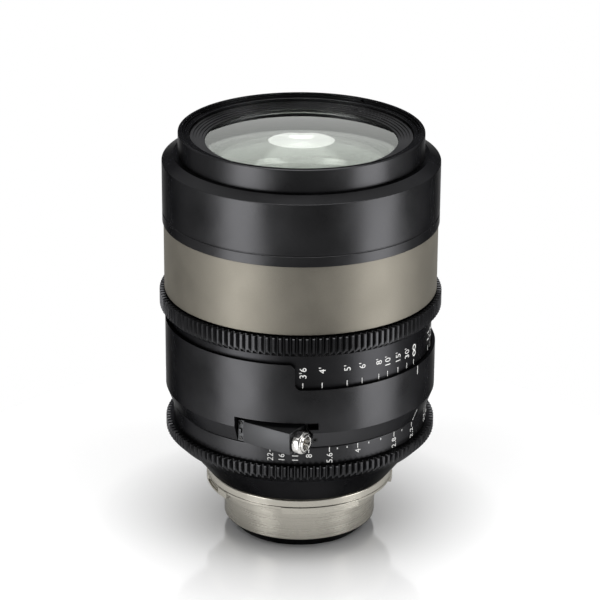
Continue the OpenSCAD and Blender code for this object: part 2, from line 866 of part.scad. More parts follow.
// Fixed housing with the two scale windows, the bevel and the connector pocket
module main_housing() {
    pocket_span = [block_turn + asin(pocket_offset / block_face_r), pocket_stop_turn];
    color(black_metal) difference() {
        turned([
            [rear_tube_r + seat_fit, house_z], [bevel_r, house_z], [housing_r, bevel_top_z],
            [housing_r, house_top_z], [housing_in_r, house_top_z],
            [housing_in_r, barrel_flange_top_z], [barrel_flange_r + seat_fit, barrel_flange_top_z],
            [barrel_flange_r + seat_fit, barrel_seat_z], [rear_tube_r + seat_fit, barrel_seat_z]
        ]);
        focus_window();
        window_arc(side_window_z, side_window_z + side_window_h, side_window_turns);
        ring_arc(housing_r + over, block_floor_r - seat_fit, house_z - over, pocket_top_z,
            pocket_span);
        ring_arc(housing_r + over, block_floor_r - seat_fit, pocket_top_z - notch_h,
            pocket_top_z - notch_step, [pocket_stop_turn - notch_lap_turn, notch_stop_turn]);
        at_turn(block_turn) {
            translate([nut_start - nut_clear, socket_y, socket_z]) rotate([0, 90, 0])
                cylinder(r = nut_r + nut_clear, h = nut_t + 2 * nut_clear);
            translate([block_end - socket_tail_len - nut_clear, socket_y, socket_z])
                rotate([0, 90, 0]) cylinder(r = socket_tail_r + hole_fit, h = socket_reach);
            translate([block_end, socket_y, socket_z]) rotate([0, 90, 0])
                cylinder(r = socket_thread_r + socket_clear, h = socket_reach + socket_clear);
            at_lug_screws() screw_hole(lug_screw_head_r, lug_screw_head_h,
                lug_screw_shaft_r, lug_screw_len, over);
        }
        at_housing_screws() screw_hole(housing_screw_head_r, housing_screw_head_h,
            housing_screw_shaft_r, housing_screw_len, bevel_step);
        at_barrel_screws() screw_hole(barrel_screw_head_r, barrel_screw_head_h,
            barrel_screw_shaft_r, barrel_screw_len, over);
    }
}

// A cut through the thin wall of the housing between two levels and two turns
module window_arc(low_z, high_z, turns) {
    ring_arc(housing_r + over, housing_in_r - over, low_z, high_z, turns);
}

// Turn that a length spans on the outside of the housing
function turn_of(length) = length / housing_r * 180 / PI;

// Focus window, open to the front, with rounded corners at its sill and at its front edge
module focus_window() {
    stop = window_start + window_turn;
    sill_turn = turn_of(sill_corner_r);
    lip_turn = turn_of(lip_corner_r);
    arc_turn = sill_turn + turn_of(sill_lap / 2);
    window_arc(window_z, house_top_z + over, [window_start + arc_turn, stop - arc_turn]);
    at_turn(window_start + sill_turn) window_end(1);
    at_turn(stop - sill_turn) window_end(-1);
    lip_corner([window_start - lip_turn, window_start + sill_turn / 2], window_start - lip_turn);
    lip_corner([stop - sill_turn / 2, stop + lip_turn], stop + lip_turn);
}

// Radial cut for one end of the window, rounded at its sill; side tells which way the window goes on
module window_end(side) {
    from_r = housing_in_r - 3 * over;
    translate([0, -from_r, window_z]) rotate([90, 0, 0])
        linear_extrude(height = housing_r + 3 * over - from_r) polygon(concat(
            [[side * sill_lap, corner_relief]],
            [for (i = [0 : corner_steps]) [
                -side * sill_corner_r * sin(90 * i / corner_steps),
                sill_corner_r * (1 - cos(90 * i / corner_steps))
            ]],
            [[-side * sill_corner_r, window_h + 2 * over], [side * sill_lap, window_h + 2 * over]]
        ));
}

// Cut beside the window that rounds the housing's front edge, around a radial axis at one turn
module lip_corner(turns, axis_turn) {
    difference() {
        ring_arc(housing_r + 2 * over, housing_in_r - 2 * over, house_top_z - lip_corner_r,
            house_top_z + 3 * over, turns);
        at_turn(axis_turn) radial(lip_corner_r + corner_relief, housing_in_r - 3 * over,
            housing_r + 3 * over, house_top_z - lip_corner_r);
    }
}

// Places a screw that goes up through the foot of the housing into the inner barrel
module at_barrel_screws() {
    for (turn = barrel_screw_turns) at_turn(turn)
        translate([0, -barrel_screw_r, house_z + barrel_screw_sink]) rotate([180, 0, 0]) children();
}

// Five screws that join the housing and the inner barrel from below
module barrel_screws() {
    color(steel) at_barrel_screws() screw(barrel_screw_head_r, barrel_screw_head_h,
        barrel_screw_shaft_r, barrel_screw_len);
}

// Places a screw that goes radially through the bevel into the rear housing
module at_housing_screws() {
    for (turn = housing_screw_turns) at_turn(turn)
        translate([0, -housing_screw_top_r, housing_screw_z]) rotate([90, 0, 0]) children();
}

// Three radial screws in the bevel
module housing_screws() {
    color(steel) at_housing_screws() screw(housing_screw_head_r, housing_screw_head_h,
        housing_screw_shaft_r, housing_screw_len);
}

// Block on the inner barrel that ends the turn of the focus ring
module focus_stop() {
    color(steel) ring_arc(sleeve_r - turn_gap, barrel_r + seat_fit, barrel_flange_top_z,
        barrel_flange_top_z + stop_h, [stop_middle - stop_turn / 2, stop_middle + stop_turn / 2]);
}

// Flat-faced block of the data connector, with a lug beside it that two screws hold
module data_block() {
    color(ring_grey) at_turn(block_turn) difference() {
        union() {
            translate([block_offset, -block_face_r, block_z])
                cube([block_len, block_face_r - block_floor_r / 2, block_h]);
            intersection() {
                translate([lug_offset, -block_face_r, block_z])
                    cube([block_offset, block_face_r / 2, block_h]);
                cylinder(r = lug_r, h = pocket_top_z);
            }
            translate([lug_screw_x - lug_rib_w / 2, -lug_r - lug_rib_t, socket_z - lug_rib_h / 2])
                cube([lug_rib_w, lug_t, lug_rib_h]);
        }
        cylinder(r = block_floor_r, h = front_z);
        translate([block_end - socket_tail_len - hole_fit, socket_y, socket_z]) rotate([0, 90, 0])
            cylinder(r = socket_tail_r + hole_fit, h = socket_reach);
        at_lug_screws() screw_hole(lug_screw_head_r, lug_screw_head_h,
            lug_screw_shaft_r, lug_screw_len, over);
    }
}

// Places a small screw of the connector block's lug, in the block's own frame
module at_lug_screws() {
    for (rise = [lug_screw_rise, -lug_screw_rise])
        translate([lug_screw_x, -lug_r, socket_z + rise]) rotate([90, 0, 0]) children();
}

// Two small screws that hold the connector block's lug
module data_block_screws() {
    color(steel) at_turn(block_turn) at_lug_screws() screw(lug_screw_head_r, lug_screw_head_h,
        lug_screw_shaft_r, lug_screw_len);
}

// Round socket that comes out of the end of the block
module data_socket() {
    tail_z = block_end - socket_tail_len;
    color(steel) at_turn(block_turn) translate([0, socket_y, socket_z]) rotate([0, 90, 0]) difference() {
        union() {
            translate([0, 0, tail_z]) cylinder(r = socket_tail_r, h = socket_tail_len + over);
            translate([0, 0, block_end + seat_fit])
                cylinder(r = socket_thread_r, h = socket_reach - seat_fit);
        }
        translate([0, 0, block_end + seat_fit]) cylinder(r = socket_bore_d / 2, h = socket_reach);
    }
}

// Four contact pins at the bottom of the socket
module data_contacts() {
    color("gold") at_turn(block_turn) translate([block_end + seat_fit, socket_y, socket_z])
        rotate([0, 90, 0]) for (i = [0 : contact_count - 1]) rotate([0, 0, 45 + i * 360 / contact_count])
            translate([contact_circle_r, 0, 0]) cylinder(r = contact_r, h = contact_len);
}

// Six-sided nut on the socket's thread
module data_nut() {
    color(silver) at_turn(block_turn) translate([nut_start, socket_y, socket_z]) rotate([0, 90, 0])
        difference() {
            intersection() {
                cylinder(r = nut_r / nut_flat_share, h = nut_t, $fn = 6);
                turned([
                    [0, 0], [nut_r - nut_chamfer, 0], [nut_r, nut_chamfer],
                    [nut_r, nut_t - nut_chamfer], [nut_r - nut_chamfer, nut_t], [0, nut_t]
                ]);
            }
            translate([0, 0, -over]) cylinder(r = socket_thread_r + seat_fit, h = nut_t + 2 * over);
        }
}

// Rear parts and the camera mount

// Black rear housing: a cone outside, with the tube that the iris ring turns on
module rear_housing() {
    color(soft_black) difference() {
        turned([
            [rear_bore_r, rear_z], [rear_low_r, rear_z], [rear_top_r, rear_top_z - rear_top_land],
            [rear_top_r, rear_top_z], [rear_tube_r, rear_top_z], [rear_tube_r, barrel_seat_z],
            [rear_in_r, barrel_seat_z], [rear_in_r, rear_ledge_z], [rear_bore_r, rear_ledge_z]
        ]);
        drive_slot(rear_tube_r + over, rear_in_r - over);
        at_housing_screws() screw_hole(housing_screw_head_r, housing_screw_head_h,
            housing_screw_shaft_r, housing_screw_len, over);
        at_mount_screws() screw_hole(mount_screw_head_r, mount_screw_head_h,
            mount_screw_shaft_r, mount_screw_len, over);
    }
}

// Arc slot through which the iris drive pin sweeps
module drive_slot(outer_r, inner_r) {
    ring_arc(outer_r, inner_r, drive_pin_z - drive_slot_half, drive_pin_z + drive_slot_half,
        [drive_pin_turn - drive_slot_margin, drive_pin_turn + iris_turn + drive_slot_margin]);
}

// Places a screw that goes forward through the middle of a wing
module at_mount_screws() {
    for (i = [0 : wing_count - 1]) at_turn(wing_first_turn + i * 360 / wing_count)
        translate([0, -mount_screw_r, mount_screw_sink]) rotate([180, 0, 0]) children();
}

// Thin ring that sets the distance from seat to glass
module mount_shim() {
    color(silver) difference() {
        ring(flange_r - edge_chamfer, tube_in_r + rear_bore_gap, shim_z, rear_z);
        at_mount_screws() screw_hole(mount_screw_head_r, mount_screw_head_h,
            mount_screw_shaft_r, mount_screw_len, over);
    }
}

// Bright mount: tube, shoulder, flange and four wings in one piece
module mount_flange() {
    wing_half = wing_turn / 2;
    left_stop = wing_first_turn - 360 / wing_count + wing_half;
    color(silver) difference() {
        turned([
            [tube_in_r, -tube_len], [tube_r, -tube_len], [tube_r, -shoulder_len],
            [shoulder_r, -shoulder_len], [shoulder_r, 0], [wing_r, 0], [wing_r, wing_t],
            [flange_r, wing_t], [flange_r, shim_z - edge_chamfer],
            [flange_r - edge_chamfer, shim_z], [tube_in_r, shim_z]
        ]);
        for (i = [0 : wing_count - 1]) {
            stop = left_stop + i * 360 / wing_count;
            gap = [stop, stop + 360 / wing_count - wing_turn];
            ring_arc(wing_r + over, wing_r - wing_root_w, -over, wing_root_h, gap);
            ring_arc(wing_r + 2 * over, flange_r, -2 * over, wing_t, gap);
        }
        ring_arc(wing_r + over, shoulder_r - pin_slot_depth, -pin_slot_drop - pin_slot_w,
            -pin_slot_drop, [left_stop + pin_slot_gap_turn, wing_first_turn - wing_half]);
        ring_arc(wing_r + over, wing_r - relief_depth, relief_lip, wing_t,
            [left_stop - relief_start_turn, left_stop - relief_stop_turn]);
        at_mount_screws() screw_hole(mount_screw_head_r, mount_screw_head_h,
            mount_screw_shaft_r, mount_screw_len, over);
    }
}

// Four screws, one in each wing
module mount_screws() {
    color(steel) at_mount_screws() screw(mount_screw_head_r, mount_screw_head_h,
        mount_screw_shaft_r, mount_screw_len);
}

// Black cone at the rear end, with a stepped opening that stops stray light
module rear_baffle() {
    open_r = rear_cone_r - baffle_wall;
    spigot_r = tube_in_r - seat_fit;
    end_z = -tube_len - rear_cone_len;
    color(soft_black) turned([
        [open_r + baffle_step_w, end_z], [rear_cone_r, end_z], [tube_r, -tube_len],
        [spigot_r, -tube_len], [spigot_r, baffle_spigot - tube_len],
        [open_r, baffle_spigot - tube_len], [open_r, end_z + baffle_step_h],
        [open_r + baffle_step_w, end_z + baffle_step_h]
    ]);
}

// Cell of the three rear glasses, seated on the ledge of the rear housing
module rear_cell() {
    front_bore_r = rear_front_glass_r + seat_fit;
    back_bore_r = rear_back_glass_r + seat_fit;
    color(soft_black) turned([
        [back_bore_r, rear_cell_z], [rear_cell_r, rear_cell_z], [rear_cell_r, rear_ledge_z],
        [cage_r, rear_ledge_z], [cage_r, rear_cell_top_z],
        [front_bore_r, rear_cell_top_z], [front_bore_r, rear_front_seat_z],
        [rear_ring_in_r, rear_front_seat_z], [rear_ring_in_r, rear_back_seat_z],
        [back_bore_r, rear_back_seat_z]
    ]);
}

// First glass behind the iris
module rear_element_front() {
    color(glass) element(rear_front_glass_r, rear_front_seat_z + seat_fit,
        rear_front_seat_z + rear_front_glass_t, -rear_front_curve, -rear_front_back_curve);
}

// Middle glass, whose dome rests on the lip of the rear cell
module rear_element_middle() {
    color(glass) element(rear_back_glass_r, rear_mid_low_z, rear_mid_high_z,
        rear_mid_front_curve, rear_mid_back_curve);
}

// Spacer between the middle and the last glass, touching the dome of the middle one
module rear_spacer() {
    color(soft_black) ring(rear_back_glass_r, rear_ring_in_r, rear_spacer_low_z, rear_spacer_top_z);
}

// Last glass before the camera
module rear_element_back() {
    color(glass) element(rear_back_glass_r, rear_back_high_z - rear_back_glass_t,
        rear_back_high_z, -rear_back_front_curve, -rear_back_curve);
}

// Two threaded rings that hold the glasses of the rear cell, one from each end
module rear_retainers() {
    low_z = rear_front_seat_z + rear_front_glass_t + seat_fit;
    high_z = rear_back_high_z - rear_back_glass_t - seat_fit;
    color(soft_black) {
        ring(rear_front_glass_r, rear_front_glass_r - rear_ledge_w, low_z, low_z + rear_ring_t);
        ring(rear_back_glass_r, rear_ring_in_r, high_z - rear_ring_t, high_z);
    }
}

// Iris

// Cup of the iris, with the pivot holes in its floor
module iris_base() {
    wall_r = cage_r - cage_wall;
    color(soft_black) difference() {
        turned([
            [aperture_r - floor_lip, cage_z], [cage_r, cage_z], [cage_r, cage_top_z],
            [wall_r + cover_ledge + seat_fit, cage_top_z],
            [wall_r + cover_ledge + seat_fit, cover_z - seat_fit], [wall_r, cover_z - seat_fit],
            [wall_r, cage_z + cage_floor_t], [aperture_r - floor_lip, cage_z + cage_floor_t]
        ]);
        for (i = [0 : blade_count - 1]) rotate([0, 0, blade_first_turn + i * blade_step_turn])
            translate([pivot_r, 0, cage_z - over])
                cylinder(r = pivot_pin_r + hole_fit, h = cage_floor_t + 2 * over);
        drive_slot(cage_r + over, wall_r - over);
    }
}

// Cover ring over the cam ring
module iris_cover() {
    color(soft_black) ring(cage_r - cage_wall + cover_ledge, cam_ring_in_r, cover_z, cage_top_z);
}

// Threaded ring that clamps the iris cup and the rear cell in the rear housing
module iris_retainer() {
    color(soft_black) ring(rear_in_r - seat_fit, rear_in_r - iris_retainer_w,
        cage_top_z + seat_fit, cage_top_z + iris_retainer_t);
}

// Place of a blade's drive stud at a share of its closing, in the frame of the cam ring
function stud_point(i, share) =
    let (
        pivot_turn = blade_first_turn + i * blade_step_turn,
        arm_turn = pivot_turn + arm_start_turn + share * blade_turn,
        x = pivot_r * cos(pivot_turn) + blade_arm * cos(arm_turn),
        y = pivot_r * sin(pivot_turn) + blade_arm * sin(arm_turn),
        back = -share * iris_turn
    )
    [x * cos(back) - y * sin(back), x * sin(back) + y * cos(back)];

// Side of the cam slot at a share of the turn: the stud's path moved square to itself
function slot_side(i, share, side) =
    let (
        step = 1 / slot_steps,
        way = stud_point(i, share + step) - stud_point(i, share - step),
        unit = way / norm(way)
    )
    stud_point(i, share) + side * cam_slot_r * [-unit[1], unit[0]];

// Outline of one cam slot
function slot_points(i) = concat(
    [for (k = [0 : slot_steps]) slot_side(i, k / slot_steps, 1)],
    [for (k = [slot_steps : -1 : 0]) slot_side(i, k / slot_steps, -1)]
);

// Ring whose slots swing the blades as the iris ring turns
module iris_cam_ring() {
    color(steel) difference() {
        ring(cam_ring_r, cam_ring_in_r, cam_ring_z, cam_ring_z + cam_ring_t);
        for (i = [0 : blade_count - 1]) translate([0, 0, cam_ring_z - over]) {
            linear_extrude(cam_ring_t + 2 * over) polygon(slot_points(i));
            for (share = [0, 1]) translate(stud_point(i, share))
                cylinder(r = cam_slot_end_r, h = cam_ring_t + 2 * over);
        }
        at_turn(drive_pin_turn) radial(drive_pin_r + hole_fit, cam_ring_r - drive_pin_bite - hole_fit,
            cam_ring_r + over, drive_pin_z);
    }
}

// Radial pin that joins the cam ring to the iris ring
module iris_drive_pin() {
    color(steel) at_turn(drive_pin_turn)
        radial(drive_pin_r, cam_ring_r - drive_pin_bite, iris_r - drive_pin_back, drive_pin_z);
}

// One blade on its own level: a crescent with a pivot pin below and a drive stud above
module iris_blade(i) {
    level = blade_z + i * blade_pitch;
    middle_r = aperture_r + blade_w / 2;
    color(soft_black) rotate([0, 0, blade_first_turn + i * blade_step_turn]) {
        translate([0, 0, level]) difference() {
            union() {
                rotate_extrude(angle = blade_tail_turn)
                    translate([aperture_r, 0]) square([blade_w, blade_t]);
                rotate([0, 0, blade_tail_turn]) translate([middle_r, 0, 0])
                    cylinder(r = blade_w / 2 + blade_end_relief, h = blade_t);
                translate([middle_r, -blade_tab_r, 0])
                    cube([pivot_r - middle_r, 2 * blade_tab_r, blade_t]);
                translate([pivot_r, 0, 0]) {
                    cylinder(r = blade_tab_r, h = blade_t);
                    rotate([0, 0, arm_start_turn]) {
                        translate([0, -stud_tab_r, 0]) cube([blade_arm, 2 * stud_tab_r, blade_t]);
                        translate([blade_arm, 0, 0]) cylinder(r = stud_tab_r, h = blade_t);
                    }
                }
            }
            translate([0, 0, -over]) cylinder(r = aperture_r, h = blade_t + 2 * over);
        }
        translate([pivot_r, 0, 0]) {
            translate([0, 0, cage_z + seat_fit]) cylinder(r = pivot_pin_r, h = level - cage_z);
            rotate([0, 0, arm_start_turn]) translate([blade_arm, 0, level])
                cylinder(r = stud_r, h = cam_ring_z + cam_ring_t - stud_recess - level);
        }
    }
}
module iris_blade_1() { iris_blade(0); }
module iris_blade_2() { iris_blade(1); }
module iris_blade_3() { iris_blade(2); }
module iris_blade_4() { iris_blade(3); }
module iris_blade_5() { iris_blade(4); }
module iris_blade_6() { iris_blade(5); }
module iris_blade_7() { iris_blade(6); }
module iris_blade_8() { iris_blade(7); }
module iris_blade_9() { iris_blade(8); }

// Iris ring, which turns on the tube of the rear housing
module iris_ring() {
    color(black_metal) difference() {
        turned([
            [iris_in_r, iris_z], [iris_r - gear_seat_w, iris_z],
            [iris_r - gear_seat_w, iris_gear_top_z], [iris_r, iris_gear_top_z],
            [iris_r, iris_top_z - edge_chamfer], [iris_r - edge_chamfer, iris_top_z],
            [iris_in_r, iris_top_z]
        ]);
        at_turn(drive_pin_turn) radial(drive_pin_r + hole_fit, iris_in_r - over,
            iris_r - drive_pin_back + hole_fit, drive_pin_z);
        at_iris_gear_screws() screw_hole(gear_screw_head_r, gear_screw_head_h,
            gear_screw_shaft_r, iris_gear_screw_len, over);
    }
}

// Drive gear of the iris ring
module iris_gear() {
    color(black_metal) difference() {
        gear_ring(iris_teeth, iris_r - gear_seat_w + seat_fit, iris_z, iris_gear_top_z,
            iris_chamfer_w, iris_chamfer_h);
        at_iris_gear_screws() screw_hole(gear_screw_head_r, gear_screw_head_h,
            gear_screw_shaft_r, iris_gear_screw_len, iris_chamfer_h);
    }
}

// Places a screw that goes up through the iris gear into the iris ring
module at_iris_gear_screws() {
    for (i = [0 : gear_screw_count - 1])
        at_turn(gear_screw_first_turn + i * 360 / gear_screw_count)
            translate([0, gear_screw_inset - iris_r, iris_z + iris_chamfer_h / 2])
                rotate([180, 0, 0]) children();
}

// Six screws that hold the iris gear from below
module iris_gear_screws() {
    color(steel) at_iris_gear_screws() screw(gear_screw_head_r, gear_screw_head_h,
        gear_screw_shaft_r, iris_gear_screw_len);
}

// Focus ring and the group that it moves

// Scale drum of the focus ring
module focus_ring() {
    color(black_metal) difference() {
        ring(drum_r, drum_in_r, drum_z, gear_z);
        at_focus_gear_screws() screw_hole(gear_screw_head_r, gear_screw_head_h,
            gear_screw_shaft_r, focus_gear_screw_len, over);
    }
}

// Drive gear of the focus ring
module focus_gear() {
    color(black_metal) difference() {
        gear_ring(focus_teeth, drum_in_r, gear_z, gear_top_z, focus_chamfer_w, focus_chamfer_h);
        at_focus_gear_screws() screw_hole(gear_screw_head_r, gear_screw_head_h,
            gear_screw_shaft_r, focus_gear_screw_len, over);
    }
}

// Places a screw that goes down through the focus gear into the drum
module at_focus_gear_screws() {
    for (i = [0 : gear_screw_count - 1])
        at_turn(gear_screw_first_turn + i * 360 / gear_screw_count)
            translate([0, -(drum_in_r + drum_r) / 2, gear_top_z - gear_screw_sink]) children();
}

// Six screws that hold the focus gear from the front
module focus_gear_screws() {
    color(steel) at_focus_gear_screws() screw(gear_screw_head_r, gear_screw_head_h,
        gear_screw_shaft_r, focus_gear_screw_len);
}

// Cut for a helical groove that comes down to the follower over the focus turn, in short
// straight steps with a round end at each end
module helical_groove() {
    groove_r = follower_r + follower_fit;
    end_r = groove_r + groove_end_relief;
    middle_r = (sleeve_in_r + sleeve_r) / 2;
    slope = atan(focus_travel / (focus_turn * PI / 180 * middle_r));
    step_turn = focus_turn / groove_steps;
    step_len = 2 * (sleeve_r + over) * tan(step_turn / 2);
    for (k = [0 : groove_steps - 1])
        at_turn(-(k + 0.5) * step_turn)
            translate([0, -middle_r, follower_z + (k + 0.5) / groove_steps * focus_travel])
                rotate([0, slope, 0])
                    cube([step_len, sleeve_wall + 2 * over, 2 * groove_r], center = true);
    for (share = [0, 1]) at_turn(-share * focus_turn)
        radial(end_r, sleeve_in_r - over, sleeve_r + over, follower_z + share * focus_travel);
}

// Sleeve with three helical grooves, which turns with the focus ring
module cam_sleeve() {
    notch = [
        stop_middle - focus_turn - stop_turn / 2 - stop_clear,
        stop_middle + stop_turn / 2 + stop_clear
    ];
    color(steel) difference() {
        ring(sleeve_r, sleeve_in_r, drum_z, sleeve_top_z);
        for (i = [0 : follower_count - 1])
            at_turn(follower_first_turn + i * 360 / follower_count) helical_groove();
        ring_arc(sleeve_r + over, sleeve_in_r - over, drum_z - over,
            barrel_flange_top_z + stop_h + turn_gap, notch);
    }
}

// Magnetic ring of the encoder, on the end of the cam sleeve
module encoder_ring() {
    color(ring_grey) ring(sleeve_in_r + encoder_ring_w, sleeve_in_r, sleeve_top_z,
        sleeve_top_z + encoder_ring_t);
}

// Sliding cell of the focus group: an outer guide, a web and a hub for two glasses
module focus_cell() {
    low_z = follower_z - focus_cell_back;
    high_z = follower_z + focus_cell_front;
    hub_r = focus_front_glass_r + focus_hub_wall;
    front_bore_r = focus_front_glass_r + seat_fit;
    back_bore_r = focus_back_glass_r + seat_fit;
    guide_r = focus_cell_r - focus_cell_wall;
    color(soft_black) difference() {
        turned([
            [back_bore_r, low_z], [hub_r, low_z], [hub_r, follower_z - focus_web_half],
            [guide_r, follower_z - focus_web_half], [guide_r, low_z], [focus_cell_r, low_z],
            [focus_cell_r, high_z], [guide_r, high_z], [guide_r, follower_z + focus_web_half],
            [hub_r, follower_z + focus_web_half], [hub_r, high_z], [front_bore_r, high_z],
            [front_bore_r, follower_z + focus_web_half],
            [back_bore_r - focus_ledge_w, follower_z + focus_web_half],
            [back_bore_r - focus_ledge_w, follower_z], [back_bore_r, follower_z]
        ]);
        for (i = [0 : follower_count - 1]) at_turn(follower_first_turn + i * 360 / follower_count)
            radial(follower_pin_r + hole_fit, focus_cell_r - follower_pin_bite - hole_fit,
                focus_cell_r + over, follower_z);
    }
}

// Front glass of the focus group
module focus_element_front() {
    low_z = follower_z + focus_web_half + seat_fit;
    color(glass) element(focus_front_glass_r, low_z, low_z + focus_front_glass_t,
        focus_front_curve, -focus_front_back_curve);
}

// Rear glass of the focus group
module focus_element_back() {
    high_z = follower_z - seat_fit;
    color(glass) element(focus_back_glass_r, high_z - focus_back_glass_t, high_z,
        -focus_back_front_curve, -focus_back_curve);
}

// Two threaded rings that hold the glasses of the focus group
module focus_retainers() {
    front_in_r = focus_front_glass_r - focus_ledge_w;
    front_low_z = follower_z + focus_web_half + focus_front_glass_t + 2 * seat_fit
        + sag_between(focus_front_curve, front_in_r, focus_front_glass_r);
    back_high_z = follower_z - focus_back_glass_t - 2 * seat_fit;
    color(soft_black) {
        ring(focus_front_glass_r, front_in_r, front_low_z, front_low_z + focus_ring_t);
        ring(focus_back_glass_r, focus_back_glass_r - focus_ledge_w, back_high_z - focus_ring_t,
            back_high_z);
    }
}

// Three cam followers: a roller on a pin, through a straight slot into a helical groove
module cam_followers() {
    color("goldenrod") for (i = [0 : follower_count - 1])
        at_turn(follower_first_turn + i * 360 / follower_count) {
            radial(follower_r, focus_cell_r + seat_fit, sleeve_r - follower_tip_gap, follower_z);
            radial(follower_pin_r, focus_cell_r - follower_pin_bite, focus_cell_r + follower_pin_r,
                follower_z);
        }
}

front_ring();
front_retainer();
front_element();
second_element();
third_element();
element_spacer();
front_group_retainer();
front_cell();
front_barrel();
front_screws();
name_band();
inner_barrel();
encoder_board();
main_housing();
barrel_screws();
housing_screws();
focus_stop();
iris_retainer();
iris_cover();
iris_base();
rear_cell();
rear_element_front();
rear_element_middle();
rear_spacer();
rear_element_back();
rear_retainers();
rear_housing();
mount_shim();
mount_flange();
mount_screws();
rear_baffle();
data_block();
data_block_screws();
data_socket();
data_contacts();
data_nut();
focus_ring();
focus_gear();
focus_gear_screws();
cam_sleeve();
encoder_ring();
focus_cell();
focus_element_front();
focus_element_back();
focus_retainers();
cam_followers();
iris_ring();
iris_gear();
iris_gear_screws();
iris_drive_pin();
iris_cam_ring();
iris_blade_1();
iris_blade_2();
iris_blade_3();
iris_blade_4();
iris_blade_5();
iris_blade_6();
iris_blade_7();
iris_blade_8();
iris_blade_9();
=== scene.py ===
"""Looks of a cinema prime lens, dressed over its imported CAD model.

Lengths are metres, in the frame of the CAD model. Z is the optical axis, Z = 0 is the seat of
the camera mount, and -Y faces the camera. Turns are degrees counted from -Y towards +X.
"""

import json
import logging
import math
from dataclasses import dataclass, field
from enum import Enum

import bmesh
import bpy
from mathutils import Matrix, Vector

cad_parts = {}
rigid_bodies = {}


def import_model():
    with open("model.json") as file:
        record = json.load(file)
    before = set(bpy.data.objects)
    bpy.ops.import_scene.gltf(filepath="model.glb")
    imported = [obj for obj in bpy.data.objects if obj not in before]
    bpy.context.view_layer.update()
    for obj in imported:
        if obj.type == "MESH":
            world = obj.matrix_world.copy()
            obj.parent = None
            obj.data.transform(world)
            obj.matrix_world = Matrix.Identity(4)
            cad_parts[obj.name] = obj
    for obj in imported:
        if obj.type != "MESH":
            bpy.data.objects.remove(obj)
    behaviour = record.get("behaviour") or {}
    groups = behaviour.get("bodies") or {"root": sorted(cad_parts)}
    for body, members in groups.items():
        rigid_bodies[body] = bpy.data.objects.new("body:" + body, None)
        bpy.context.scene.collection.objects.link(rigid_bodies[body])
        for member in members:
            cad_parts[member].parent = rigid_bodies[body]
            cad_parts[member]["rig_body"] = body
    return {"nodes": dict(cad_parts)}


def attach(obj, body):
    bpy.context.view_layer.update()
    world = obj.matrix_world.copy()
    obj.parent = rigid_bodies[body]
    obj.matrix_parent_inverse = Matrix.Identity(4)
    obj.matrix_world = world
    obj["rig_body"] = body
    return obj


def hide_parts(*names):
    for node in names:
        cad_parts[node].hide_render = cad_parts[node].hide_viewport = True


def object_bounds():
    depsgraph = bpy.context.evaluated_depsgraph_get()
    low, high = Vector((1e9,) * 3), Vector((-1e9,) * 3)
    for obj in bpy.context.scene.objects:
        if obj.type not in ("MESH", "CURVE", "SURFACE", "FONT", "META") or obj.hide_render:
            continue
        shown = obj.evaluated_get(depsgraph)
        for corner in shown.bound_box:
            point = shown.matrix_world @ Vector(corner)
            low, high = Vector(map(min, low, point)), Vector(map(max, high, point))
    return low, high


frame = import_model()
CAD_BOX = [list(corner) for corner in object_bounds()]

LOG = logging.getLogger("lens")
MM = 0.001
IMAGE_SIDE = 600
NOISE_RANGE = (0.3, 0.7)

# Limits for the lengths and products of unit normals.
LEVEL_NORMAL = 0.999
LEAST_SIDE = 0.05
TURNED_SLACK = 0.03
SAME_SIDE = 0.5


class Grain(Enum):
    """Structure of a metal's surface."""

    BLASTED = "blasted"
    TURNED = "turned"
    SMOOTH = "smooth"


class Slot(Enum):
    """Material slots of the record."""

    BLACK = "black_anodised"
    INNER = "inner_black"
    BAND = "titanium_grey"
    REAR = "rear_trim"
    MOUNT = "mount_steel"
    SOCKET = "chrome_socket"
    CONTACT = "contact_gold"


class Outline(Enum):
    """Outlines of the lamps."""

    BOX = "RECTANGLE"
    OVAL = "ELLIPSE"


